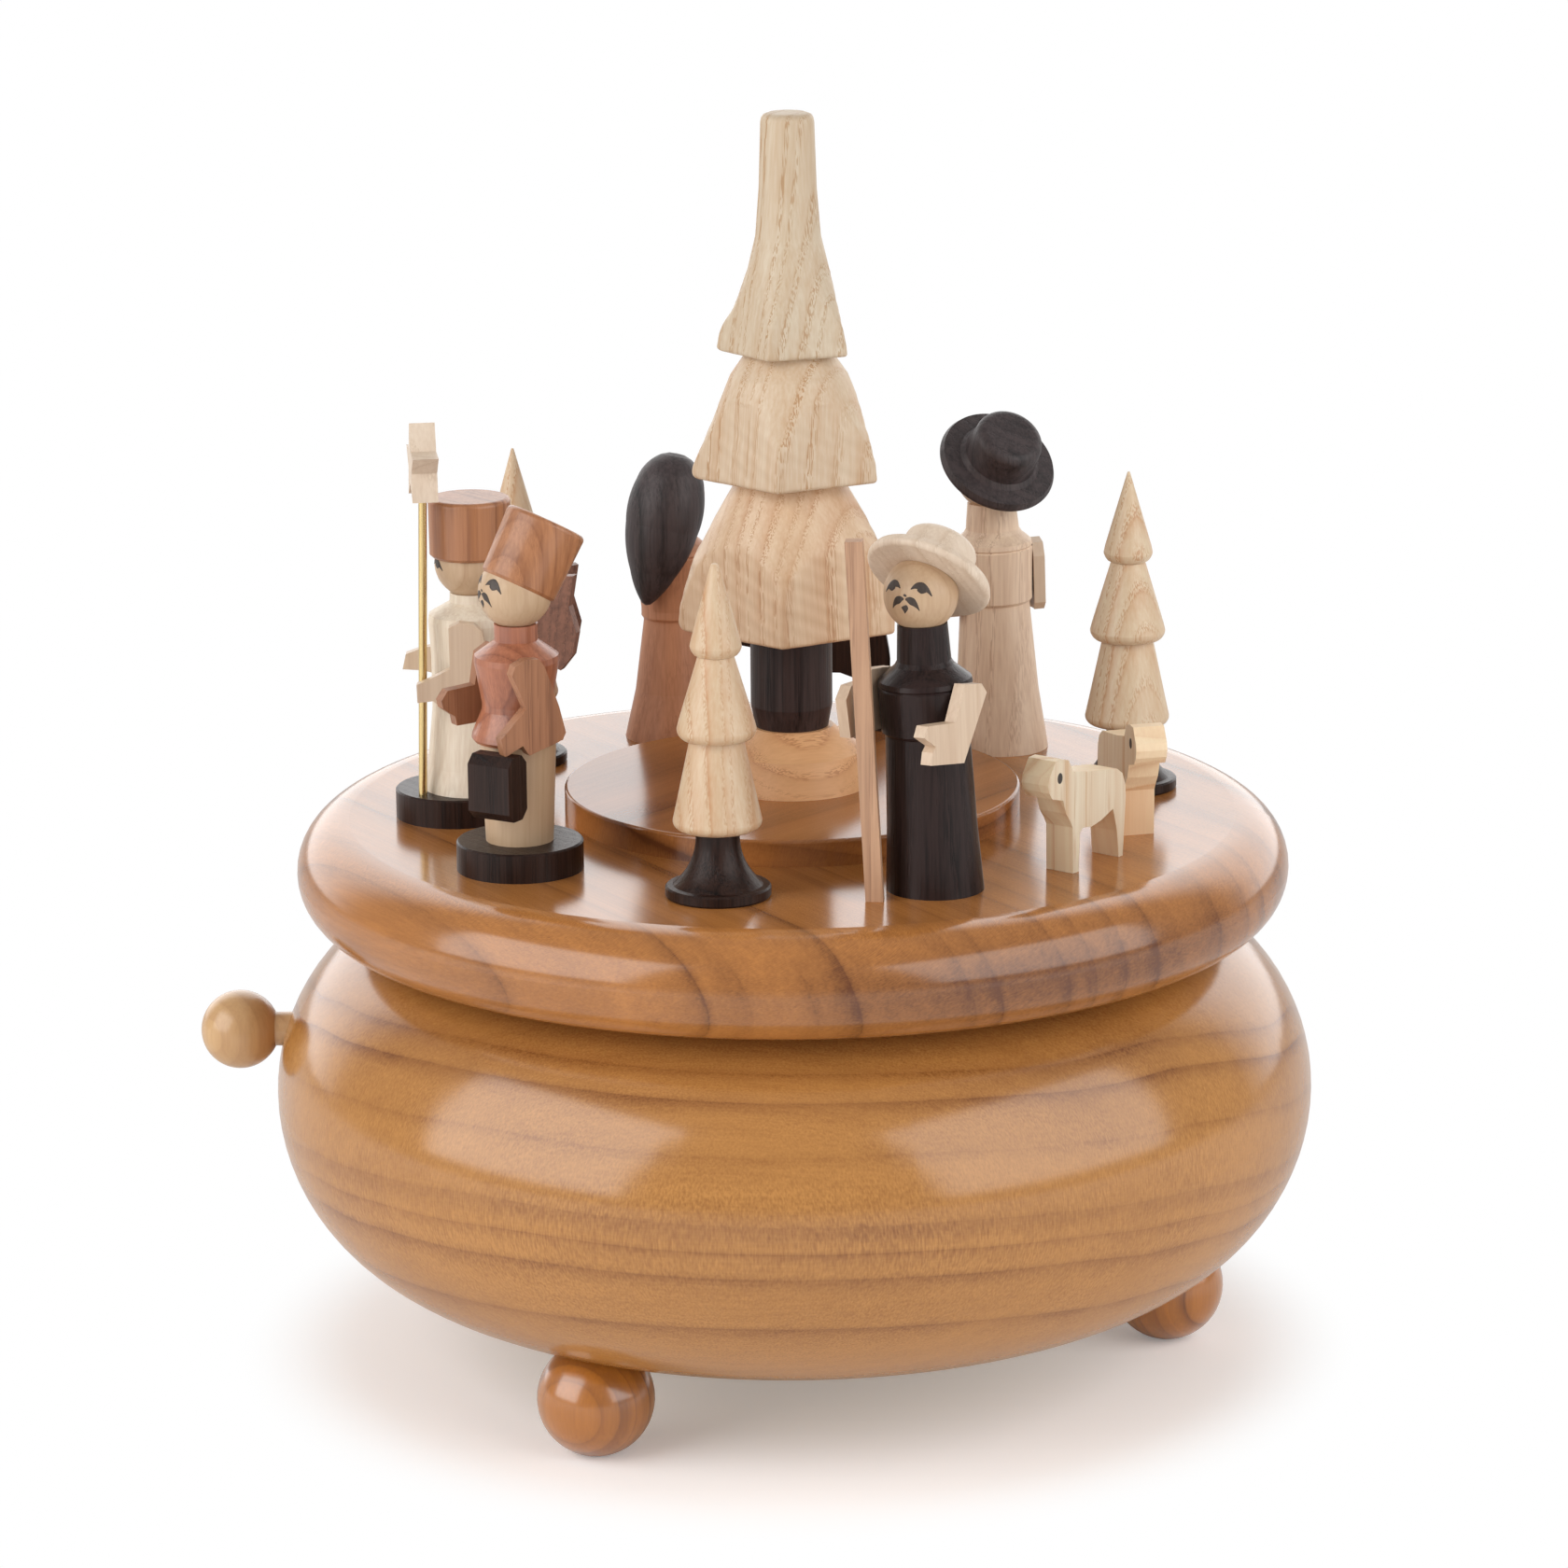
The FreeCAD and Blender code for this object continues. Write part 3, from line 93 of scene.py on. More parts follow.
# %% [markdown]
# ## Colours on screen
# Colours below are written as a screen shows them, 0 to 255 for red, green and blue. A screen value
# isn't an amount of light: half the number is only a fifth of the light. Shaders add and multiply
# light, so every colour is turned into light first.

# %% Screen colours
def rgb(red, green, blue):
    """A colour on screen, 0 to 255, turned into the linear light that shaders use."""
    screen = np.array([red, green, blue]) / 255
    light = np.where(screen < 0.04045, screen / 12.92, ((screen + 0.055) / 1.055) ** 2.4)
    return (*[float(v) for v in light], 1.0)


print("a middle grey on screen is", round(rgb(128, 128, 128)[0], 3), "of full light")

# %% [markdown]
# ## A bench for nets of nodes
# Every finish below is a small net of nodes, and so is the light of the room. Writing each node
# out by hand hides the idea, so one helper adds a node, fills its sockets and hands back its
# output. Numbers go into the sockets, and anything that is already an output gets a link.

# %% Node bench
class Bench:
    """A material or world under construction. Most calls add a node and return its output."""

    def __init__(self, owner):
        owner.use_nodes = True
        self.owner = owner
        self.tree = owner.node_tree
        self.shader = self.tree.nodes.get("Principled BSDF")

    def put(self, socket, value):
        """Links an output to the socket, or writes a plain value into it."""
        if isinstance(value, bpy.types.NodeSocket):
            self.tree.links.new(value, socket)
        else:
            socket.default_value = value

    def add(self, kind, inputs=(), output=0, **settings):
        """A node of a kind, with its settings and its sockets by name or number."""
        node = self.tree.nodes.new(kind)
        for key, value in settings.items():
            setattr(node, key, value)
        for key, value in dict(inputs).items():
            self.put(node.inputs[key], value)
        return node.outputs[output]

    def place(self):
        """Where a point of the surface is, in metres, counted from the object's own origin."""
        return self.add("ShaderNodeTexCoord", output="Object")

    def sum(self, operation, *values):
        """One step of arithmetic on numbers."""
        return self.add("ShaderNodeMath", enumerate(values), operation=operation)

    def vector(self, operation, *values, output=0):
        """One step of arithmetic on points or directions."""
        return self.add("ShaderNodeVectorMath", enumerate(values), output, operation=operation)

    def noise(self, vector, scale, detail=2.0, output="Fac", **inputs):
        """Smooth chance values, about 'scale' lumps to a metre."""
        found = {"Vector": vector, "Scale": scale, "Detail": detail, **inputs}
        return self.add("ShaderNodeTexNoise", found, output)

    def ramp(self, value, stops):
        """Turns a 0 to 1 value into another by straight lines between (position, grey) stops."""
        ramp = self.tree.nodes.new("ShaderNodeValToRGB")
        band = ramp.color_ramp
        while len(band.elements) < len(stops):
            band.elements.new(0.5)
        for element, (position, grey) in zip(band.elements, stops):
            element.position = position
            element.color = (grey, grey, grey, 1)
        self.put(ramp.inputs[0], value)
        return ramp.outputs[0]

    def mix(self, share, first, second):
        """The first colour where the share is 0, and the second where it is 1."""
        node = self.tree.nodes.new("ShaderNodeMix")
        node.data_type = "RGBA"
        for key, value in ((0, share), (6, first), (7, second)):
            self.put(node.inputs[key], value)
        return node.outputs[2]

    def bump(self, height, strength, depth):
        """Tilts the light as if the height raised the surface by up to 'depth' metres."""
        found = {"Height": height, "Strength": strength, "Distance": depth}
        self.put(self.shader.inputs["Normal"], self.add("ShaderNodeBump", found))

    def finish(self, **inputs):
        """Fills the shader's own sockets and hands over the material."""
        for key, value in inputs.items():
            self.put(self.shader.inputs[key.replace("_", " ")], value)
        return self.owner


print("bench ready:", ", ".join(step for step in vars(Bench) if not step.startswith("_")))

# %% [markdown]
# ## Two soft boxes
# The object stands between two big soft boxes, one on each side of the camera. Lacquer is a mirror
# laid over wood, so the boxes matter twice: they light the grain, and their reflections draw the
# roundness of the bowl. An area lamp does both, and the camera itself doesn't see it.

# %% Soft boxes
# Each box has an azimuth and a height in degrees, a width and a tallness in metres, and its watts.
SOFT_BOXES = {"soft_box_left": (-150, 24, 0.98, 0.86, 8.1),
              "soft_box_right": (-32, 24.5, 1.15, 0.86, 7.0)}
BOX_DISTANCE = 1.05
BOX_TARGET = Vector((0, 0, 0.09))


def soft_box(name, azimuth, height, width, tall, watts):
    """An area lamp that hangs in a direction and looks at the middle of the music box."""
    azimuth, height = math.radians(azimuth), math.radians(height)
    lamp = bpy.data.lights.new(name, "AREA")
    lamp.shape = "RECTANGLE"
    lamp.size = width
    lamp.size_y = tall
    lamp.energy = watts
    box = bpy.data.objects.new(name, lamp)
    bpy.context.scene.collection.objects.link(box)
    side = Vector((math.cos(azimuth) * math.cos(height), math.sin(azimuth) * math.cos(height),
                   math.sin(height)))
    box.location = BOX_TARGET + side * BOX_DISTANCE
    box.rotation_mode = "QUATERNION"
    box.rotation_quaternion = side.to_track_quat("Z", "Y")
    box.visible_camera = False


for name, settings in SOFT_BOXES.items():
    soft_box(name, *settings)
print("lamps:", ", ".join(SOFT_BOXES))

# %% [markdown]
# ## A room that is dim in front and white behind
# The wall behind the object is white and the room on the camera's side is dim, so the gloss stays
# clear in the middle of the bowl and turns white along its outline and on the flat lid. The world
# is one smooth step along Y between the two. What the camera sees of it is plain white. Mirrored
# in the lacquer the wall is brighter still, as a lit studio wall is.

# %% Room
DIM_LEVEL = 0.36
WALL_LEVEL = 1.0
MIRRORED_EXTRA = 1.2
WALL_FROM, WALL_TO = 0.44, 0.76

world = bpy.data.worlds.new("white_room")
bpy.context.scene.world = world
room = Bench(world)
looking = room.add("ShaderNodeSeparateXYZ", {0: room.add("ShaderNodeTexCoord", output="Generated")}, 1)
mirrored = room.add("ShaderNodeLightPath", output="Is Glossy Ray")
wall = room.sum("MULTIPLY_ADD", mirrored, MIRRORED_EXTRA, WALL_LEVEL)
around = room.add("ShaderNodeMapRange",
                  {0: looking, 1: WALL_FROM, 2: WALL_TO, 3: DIM_LEVEL, 4: wall},
                  interpolation_type="SMOOTHSTEP")
seen = room.add("ShaderNodeLightPath", output="Is Camera Ray")
shade = room.tree.nodes["Background"]
room.put(shade.inputs["Color"], (1, 1, 1, 1))
room.put(shade.inputs["Strength"], room.sum("MAXIMUM", around, seen))
print("room: from", DIM_LEVEL, "in front to", WALL_LEVEL, "behind")

# %% [markdown]
# ## The paper sweep
# The floor is matt white paper. Close to the object it takes the shadow. Further out the camera
# sees it as pure white, so that floor and wall have no border. The small lift stands for the
# light that thin paper lets through. From below, the camera alone looks through the paper, so that
# the key and the base board can be inspected.

# %% Paper sweep
SWEEP_HALF = 4.0
SHADOW_FROM, SHADOW_TO = 0.076, 0.1
PAPER_WHITE = 0.97
PAPER_LIFT = 0.17

corners = [(x * SWEEP_HALF, y * SWEEP_HALF, 0) for x, y in ((-1, -1), (1, -1), (1, 1), (-1, 1))]
sweep_mesh = bpy.data.meshes.new("sweep")
sweep_mesh.from_pydata(corners, [], [(0, 1, 2, 3)])
sweep = bpy.data.objects.new("sweep", sweep_mesh)
bpy.context.scene.collection.objects.link(sweep)
paper = Bench(bpy.data.materials.new("white_paper"))
paper.tree.nodes.remove(paper.shader)
away = paper.vector("LENGTH", paper.place(), output="Value")
far = paper.add("ShaderNodeMapRange", {0: away, 1: SHADOW_FROM, 2: SHADOW_TO},
                interpolation_type="SMOOTHSTEP")
seen = paper.add("ShaderNodeLightPath", output="Is Camera Ray")
matt = paper.add("ShaderNodeBsdfDiffuse", {"Color": (PAPER_WHITE, PAPER_WHITE, PAPER_WHITE, 1)})
lift = paper.add("ShaderNodeEmission", {"Color": (1, 1, 1, 1),
                                        "Strength": paper.sum("MULTIPLY", seen, PAPER_LIFT)})
near = paper.add("ShaderNodeAddShader", {0: matt, 1: lift})
white = paper.add("ShaderNodeEmission", {"Color": (1, 1, 1, 1), "Strength": 1.0})
above = paper.add("ShaderNodeMixShader", {0: paper.sum("MULTIPLY", far, seen), 1: near, 2: white})
below = paper.sum("MULTIPLY", paper.add("ShaderNodeNewGeometry", output="Backfacing"), seen)
clear = paper.add("ShaderNodeBsdfTransparent")
sided = paper.add("ShaderNodeMixShader", {0: below, 1: above, 2: clear})
paper.tree.links.new(sided, paper.tree.nodes["Material Output"].inputs["Surface"])
sweep.data.materials.append(paper.owner)
bpy.context.scene.view_settings.view_transform = "Standard"
print("paper: shadow out to", SHADOW_TO, "m")

# %% [markdown]
# ## Wood as a tree makes it
# A plank is a cut through a cone of growth rings. If a texture is only painted on, the lines on
# the lid don't meet those on its rim. So the rings are made in space: the distance from a far-off
# pith line, bent a little by stretched noise, is counted in rings, and each piece is cut out of
# that block. Fibres are a second noise drawn out along the grain, used for colour and for relief.

# %% Growth rings
# Lumps of noise to a metre across the grain, and how much of the height counts along it.
SWAY_LUMPS, TREMBLE_LUMPS = 16, 240
SLOW_ALONG = (1, 1, 0.12)


def growth(b, pith, turn, ring, wander, edge):
    """The grain's frame, the same drawn out along the tree, the way out, the years, the season.

    In the grain's frame Z runs along the tree. The way out is x and y of that frame, plus slow
    noise ('wander', in metres) and a quick tremble of the ring edges. Its length over the ring
    width counts the years, made uneven by noise, and the season is the part after the point."""
    grain = b.add("ShaderNodeMapping", {"Vector": b.place(), "Location": pith,
                                        "Rotation": [math.radians(v) for v in turn]},
                  vector_type="TEXTURE")
    slow = b.vector("MULTIPLY", grain, SLOW_ALONG)
    sway = b.vector("SUBTRACT", b.noise(slow, SWAY_LUMPS, 2, "Color"), (0.5, 0.5, 0.5))
    sway = b.vector("MULTIPLY", sway, (2 * wander, 2 * wander, 0))
    tremble = b.vector("SUBTRACT", b.noise(grain, TREMBLE_LUMPS, 1, "Color"), (0.5, 0.5, 0.5))
    reach = 0.16 * edge * ring
    tremble = b.vector("MULTIPLY", tremble, (reach, reach, 0))
    bent = b.vector("MULTIPLY", b.vector("ADD", b.vector("ADD", grain, sway), tremble), (1, 1, 0))
    years = b.sum("DIVIDE", b.vector("LENGTH", bent, output="Value"), ring)
    uneven = b.add("ShaderNodeTexNoise", {"W": years, "Scale": 0.37, "Detail": 1.0}, "Fac",
                   noise_dimensions="1D")
    years = b.sum("MULTIPLY_ADD", uneven, 2.2, years)
    return grain, slow, bent, years, b.sum("FRACT", years)


def late_wood(b, years, season, patchy, edge):
    """Dark late wood: low in spring, rising to the year's end, some years and spots stronger."""
    late = b.ramp(season, [(0.0, 0.6), (0.05, 0.3 - 0.2 * edge), (0.2, 0.02), (0.5, 0.12),
                           (0.76, 0.4), (0.94, 0.7 + 0.1 * edge), (1.0, 0.9)])
    strong = b.add("ShaderNodeTexNoise", {"W": years, "Scale": 0.83, "Detail": 0.0}, "Fac",
                   noise_dimensions="1D")
    rings = b.sum("MULTIPLY", late, b.sum("MULTIPLY_ADD", strong, 2.4, -0.6))
    return b.sum("MULTIPLY", rings, b.sum("MULTIPLY_ADD", patchy, 1.8, 0.05))


print("rings sway over", round(1 / SWAY_LUMPS, 3), "m and tremble over", round(1 / TREMBLE_LUMPS, 4), "m")

# %% [markdown]
# ## What else a planed face shows
# Rays are thin sheets that run from the pith outwards, so their noise is fine round the pith and
# long along the way out. End grain drinks more stain and is darker. The outer years can be
# darkened as painted shade: on the bowl this is the shade of the lid over its upper part, and the
# back darkens with it. Ash has rows of open pores in its spring wood. The flat animals were sawn
# out of a board, and the edges that the saw left are painted paler than the planed sides, as
# painted light.

# %% Rays, end grain, pores and sawn edges
RAY_LUMPS, RAY_OUTWARDS = 2600, 0.22
PORE_LUMPS, PORE_ALONG = 5200, (1, 1, 0.026)


def ray_fleck(b, grain, bent, patchy):
    """Fine noise over distance, angle and height round the pith, in patches."""
    across = b.add("ShaderNodeSeparateXYZ", {0: bent}).node.outputs
    rays = b.add("ShaderNodeCombineXYZ", {
        0: b.sum("MULTIPLY", b.vector("LENGTH", bent, output="Value"), RAY_OUTWARDS),
        1: b.sum("ARCTAN2", across[1], across[0]),
        2: b.add("ShaderNodeSeparateXYZ", {0: grain}, 2)})
    return b.sum("MULTIPLY", b.sum("SUBTRACT", b.noise(rays, RAY_LUMPS, 1), 0.5), patchy)


def end_grain(b, turn):
    """1 where the surface faces along the grain, falling with the fourth power of the cosine."""
    way = b.add("ShaderNodeMapping", {"Vector": (0, 0, 1),
                                      "Rotation": [math.radians(v) for v in turn]},
                vector_type="VECTOR")
    facing = b.vector("DOT_PRODUCT", b.add("ShaderNodeTexCoord", output="Normal"), way, output="Value")
    return b.sum("POWER", b.sum("ABSOLUTE", facing), 4)


def open_pores(b, grain, season, patchy, pores):
    """Short dark dashes along the grain, only in spring wood and only in patches."""
    vessel = b.noise(b.vector("MULTIPLY", grain, PORE_ALONG), PORE_LUMPS, 0)
    dash = b.ramp(vessel, [(0.0, 0.0), (0.5, 0.0), (0.58, 1.0)])
    spring = b.ramp(season, [(0.0, 1.0), (0.22, 0.9), (0.36, 0.1), (0.9, 0.0), (1.0, 0.9)])
    pitted = b.sum("MULTIPLY", b.sum("MULTIPLY", dash, spring), pores)
    pitted = b.sum("MULTIPLY", pitted, b.sum("MULTIPLY_ADD", patchy, 2.6, -0.5))
    return b.add("ShaderNodeMath", {0: pitted, 1: 0.0}, operation="MAXIMUM", use_clamp=True)


# The sawn edges take a paler colour of their own: painted light.
def edge_light_mask(b, azimuths):
    """1 on the sawn edges of flat pieces whose planed faces look along one of the azimuths."""
    facing = b.add("ShaderNodeTexCoord", output="Normal")
    flat = 0.0
    for azimuth in azimuths:
        way = (math.cos(math.radians(azimuth)), math.sin(math.radians(azimuth)), 0)
        toward = b.sum("ABSOLUTE", b.vector("DOT_PRODUCT", facing, way, output="Value"))
        flat = b.sum("MAXIMUM", toward, flat)
    return b.ramp(flat, [(0.0, 1.0), (0.9, 1.0), (0.97, 0.0)])


print("pores: one about every", round(1000 / PORE_LUMPS, 2), "mm across the grain")

# %% [markdown]
# ## The recipe
# Every wood is then one share between a pale and a dark colour: late wood, fibres, soft clouds and
# the marks above are added up, each with its own weight. The fibres also raise the surface a
# little. Lacquer is the shader's coat, a clear layer with faint ripples of its own. Under the
# thick lacquer of bowl, lid and disc the wood itself has no shine.

# %% Wood recipe
PATCH_LUMPS, CLOUD_LUMPS = 90, 42
THREAD_LUMPS, STREAK_LUMPS = 2100, 430
FIBRE_ALONG = (1, 1, 0.03)
FIBRE_DEPTH = 0.00012
SHARE_FLOOR = 0.18
LACQUER_LUMPS, LACQUER_DEPTH = 3200, 0.00002
LACQUER_ROUGH, LACQUER_IOR = 0.16, 1.6


def wood(name, pale, dark, pith=(0.06, 0.05, 0), turn=(0, 0, 0), ring=0.0022, wander=0.004,
         line=0.5, edge=0.5, mottle=0.25, fibre=0.25, pores=0.0, fleck=0.0, rough=0.5, coat=0.0,
         shine=0.5, relief=0.25, edge_light=None, end=0.0, painted_shade=None):
    """A wood with its pith line at 'pith', along Z turned by 'turn' in degrees.

    'ring' is a year's width in metres, 'wander' how far it strays, and 'edge' how sharply it
    ends. 'line', 'fibre', 'mottle', 'fleck' and 'end' weigh the late wood, fibres, clouds, rays
    and end grain. A painted shade can darken the outer years, given as (from, to, weight) by
    metres from the pith, and a painted light can make the sawn edges paler, given as (azimuths
    of the planed faces, pale, dark)."""
    b = Bench(bpy.data.materials.new(name))
    grain, slow, bent, years, season = growth(b, pith, turn, ring, wander, edge)
    patchy = b.noise(slow, PATCH_LUMPS, 2)
    along = b.vector("MULTIPLY", grain, FIBRE_ALONG)
    threads = b.noise(along, THREAD_LUMPS, 3)
    streaks = b.noise(along, STREAK_LUMPS, 2)
    cloud = b.noise(slow, CLOUD_LUMPS, 3)
    share = b.sum("MULTIPLY", late_wood(b, years, season, patchy, edge), line)
    share = b.sum("MULTIPLY_ADD", b.sum("SUBTRACT", threads, 0.5), 1.6 * fibre, share)
    share = b.sum("MULTIPLY_ADD", b.sum("SUBTRACT", streaks, 0.5), 1.2 * fibre, share)
    share = b.sum("MULTIPLY_ADD", b.sum("SUBTRACT", cloud, 0.5), 2 * mottle, share)
    if fleck > 0:
        share = b.sum("MULTIPLY_ADD", ray_fleck(b, grain, bent, patchy), 2 * fleck, share)
    if end > 0:
        share = b.sum("MULTIPLY_ADD", end_grain(b, turn), end, share)
    # Painted shade: the outer years darken, by distance from the pith.
    if painted_shade is not None:
        outer = {0: b.vector("LENGTH", bent, output="Value"), **dict(zip((1, 2, 4), painted_shade))}
        share = b.sum("ADD", share, b.add("ShaderNodeMapRange", outer))
    share = b.add("ShaderNodeMath", {0: share, 1: SHARE_FLOOR}, operation="ADD", use_clamp=True)
    colour = b.mix(share, pale, dark)
    height = threads
    if pores > 0:
        pitted = open_pores(b, grain, season, patchy, pores)
        colour = b.mix(pitted, colour, [0.92 * v for v in dark[:3]] + [1])
        height = b.sum("SUBTRACT", threads, pitted)
    # Painted light: the sawn edges are mixed towards paler colours.
    if edge_light is not None:
        azimuths, edge_light_pale, edge_light_dark = edge_light
        colour = b.mix(edge_light_mask(b, azimuths), colour, b.mix(share, edge_light_pale, edge_light_dark))
    b.bump(height, relief, FIBRE_DEPTH)
    gloss = b.sum("MULTIPLY_ADD", threads, 0.1, rough - 0.05)
    if coat > 0:
        ripple = b.noise(b.place(), LACQUER_LUMPS, 1)
        ripple = {"Height": ripple, "Strength": 0.2, "Distance": LACQUER_DEPTH}
        b.put(b.shader.inputs["Coat Normal"], b.add("ShaderNodeBump", ripple))
    return b.finish(Base_Color=colour, Roughness=gloss, Specular_IOR_Level=shine, Coat_Weight=coat,
                    Coat_Roughness=LACQUER_ROUGH, Coat_IOR=LACQUER_IOR)


print("recipe ready: fibres about", round(1000 / THREAD_LUMPS, 2), "mm apart")

# %% [markdown]
# ## Lacquered cherry
# The bowl is a thick blank whose years run nearly level, so its pith lies far below. The lid and
# the disc come from two other planks and lie aslant in opposite ways: their lines cross the top
# and run down over the rim. The ball feet are small and show strong rings.

# %% Cherry
# On the bowl the last setting is painted shade of the lid. It darkens the upper part under the lid, and
# the back with it.
cherry_bowl = wood("cherry_bowl", rgb(188, 132, 70), rgb(119, 67, 28), pith=(0.05, -0.11, -0.44),
                   turn=(0, 90, -8), ring=0.0066, wander=0.005, line=0.62, edge=0.12, rough=0.32,
                   coat=1.0, fibre=0.22, mottle=0.24, fleck=0.8, shine=0.0, relief=0.02,
                   painted_shade=(0.5, 0.53, 0.25))
cherry_lid = wood("cherry_lid", rgb(185, 122, 64), rgb(99, 56, 30), pith=(-0.144, -0.09, 0.05),
                  turn=(0, 90, -58), ring=0.0078, wander=0.006, line=0.5, edge=0.0, rough=0.3,
                  coat=1.0, fibre=0.3, mottle=0.32, fleck=0.75, end=0.6, shine=0.0, relief=0.02)
cherry_disc = wood("cherry_disc", rgb(180, 116, 62), rgb(102, 58, 31), pith=(-0.06, 0.05, -0.3),
                   turn=(0, 90, 53), ring=0.006, wander=0.006, line=0.85, edge=0.0, rough=0.3,
                   coat=0.85, fibre=0.2, mottle=0.24, fleck=0.5, shine=0.0, relief=0.02)
foot_cherry = wood("foot_cherry", rgb(187, 116, 38), rgb(116, 63, 17), pith=(0.02, 0.04, 0),
                   ring=0.0022, line=0.7, mottle=0.3, fibre=0.25, rough=0.3, coat=1.0, relief=0.03)
print("cherry for the bowl, the lid, the disc and the ball feet")

# %% [markdown]
# ## Ash with open pores
# Tree, firs and sheep are ash without lacquer. Its spring wood is full of pores, short dark dashes
# along the grain. The three tiers were sawn from different spots of a plank, so each has its own
# pith, ring width and tone. The two sheep stand at different angles, and each one's planed sides
# face a quarter turn away from where it looks.

# %% Ash
ash_tree = wood("ash_tree", rgb(205, 189, 165), rgb(176, 136, 93), pith=(-0.052, 0.03, 0),
                turn=(3, 2, 0), ring=0.0023, wander=0.004, line=0.3, mottle=0.2, fibre=0.45,
                pores=1.0, rough=0.5)
ash_middle = wood("ash_middle", rgb(212, 192, 166), rgb(184, 138, 92), pith=(-0.058, 0.022, 0),
                  turn=(-2, 3, 0), ring=0.0029, wander=0.005, line=0.35, mottle=0.2, fibre=0.45,
                  pores=0.9, rough=0.5)
ash_low = wood("ash_low", rgb(223, 196, 164), rgb(189, 138, 95), pith=(-0.05, 0.036, 0),
               turn=(2, -3, 0), ring=0.0026, wander=0.005, line=0.5, mottle=0.24, fibre=0.4,
               pores=0.75, rough=0.42)
ash_base = wood("ash_base", rgb(231, 180, 130), rgb(184, 120, 72), pith=(0, 0.02, 0.05),
                turn=(0, 90, 20), ring=0.0024, wander=0.003, line=0.6, pores=0.8, rough=0.42)
ash_fir = wood("ash_fir", rgb(215, 195, 165), rgb(190, 140, 97), pith=(0.09, -0.03, 0),
               turn=(2, 1, 0), ring=0.0022, wander=0.004, line=0.6, mottle=0.55, fibre=0.4,
               pores=0.8, rough=0.42)

# Each sheep stands at an x and y in millimetres and looks along an azimuth in degrees.
SHEEP = ((48.6, -38.3, -128.5), (57.7, -14.0, -76))
planed = [facing + 90 for x, y, facing in SHEEP]
# The paler colours given for the sheep's sawn edges are painted light.
ash_sheep = wood("ash_sheep", rgb(220, 205, 180), rgb(193, 152, 110), pith=(0.03, 0.16, 0),
                 ring=0.0019, wander=0.001, line=0.6, mottle=0.12, fibre=0.25, pores=0.5,
                 rough=0.45, edge_light=(planed, rgb(250, 228, 192), rgb(226, 182, 138)))
print("ash for three tiers, their base, the firs and", len(SHEEP), "sheep")

# %% [markdown]
# ## Maple and beech
# Heads, the pale hat and the pale robes are fine-grained woods, rubbed with wax and not lacquered.
# They differ more in tone than in grain, so the rings stay faint and the fibres carry the look.
# The stop knob has a thin lacquer, because fingers touch it.

# %% Maple and beech
maple = wood("maple", rgb(215, 192, 167), rgb(180, 145, 115), pith=(0.05, 0.08, 0), ring=0.0028,
             line=0.25, mottle=0.3, fibre=0.35, rough=0.42, relief=0.12)
maple_face = wood("maple_face", rgb(199, 170, 138), rgb(163, 124, 88), pith=(0.05, 0.08, 0),
                  ring=0.0028, line=0.25, mottle=0.3, fibre=0.35, rough=0.42, relief=0.12)
maple_hat = wood("maple_hat", rgb(224, 206, 186), rgb(190, 162, 134), pith=(-0.05, 0.02, 0),
                 ring=0.0024, line=0.4, mottle=0.2, fibre=0.4, pores=0.3, rough=0.46, relief=0.15)
maple_robe = wood("maple_robe", rgb(230, 217, 197), rgb(197, 170, 142), pith=(-0.02, 0.09, 0),
                  ring=0.003, wander=0.001, line=0.15, mottle=0.12, fibre=0.6, pores=0.2,
                  rough=0.48, relief=0.15)
beech_robe = wood("beech_robe", rgb(234, 208, 181), rgb(195, 157, 129), pith=(-0.02, 0.09, 0),
                  ring=0.003, line=0.2, mottle=0.12, fibre=0.6, pores=0.5, rough=0.5, relief=0.15)
knob_wood = wood("knob_wood", rgb(206, 165, 115), rgb(164, 114, 70), pith=(-0.05, 0.05, 0),
                 ring=0.0026, line=0.35, mottle=0.25, fibre=0.3, rough=0.36, coat=0.4, relief=0.1)
board_wood = wood("board_wood", rgb(214, 184, 140), rgb(176, 138, 94), pith=(0, 0.1, -0.2),
                  turn=(0, 90, 10), ring=0.004, line=0.3, rough=0.6)
print("maple and beech for faces, robes, the pale hat, the star and the knob")

# %% [markdown]
# ## Reddish woods
# The reddish pieces are pear, plum and steamed beech, woods that need no stain. Drum hats and
# jacket have strong rings, since so small a piece shows only a few of them, and a trace of
# lacquer.

# %% Reddish woods
pink_beech = wood("pink_beech", rgb(200, 159, 127), rgb(149, 109, 84), pith=(0.0, -0.09, 0),
                  ring=0.0016, line=0.5, mottle=0.2, fibre=0.6, pores=0.9, rough=0.52, relief=0.2)
veil_pear = wood("veil_pear", rgb(196, 136, 99), rgb(147, 92, 62), pith=(0.0, -0.09, 0),
                 ring=0.003, line=0.3, mottle=0.2, fibre=0.5, pores=0.4, rough=0.5, relief=0.15)
pear = wood("pear", rgb(179, 122, 82), rgb(127, 76, 46), pith=(0.03, 0.07, 0), ring=0.0024,
            wander=0.002, line=0.9, mottle=0.35, fibre=0.6, pores=0.2, rough=0.42, coat=0.15,
            relief=0.12)
plum_jacket = wood("plum_jacket", rgb(179, 112, 80), rgb(122, 66, 46), pith=(0.03, 0.07, 0),
                   ring=0.0024, wander=0.002, line=0.9, mottle=0.35, fibre=0.6, pores=0.2,
                   rough=0.4, coat=0.3, relief=0.12)
pear_arms = wood("pear_arms", rgb(170, 117, 83), rgb(125, 79, 52), pith=(0.03, 0.07, 0),
                 ring=0.002, line=0.4, mottle=0.2, fibre=0.5, pores=0.6, rough=0.45, relief=0.15)
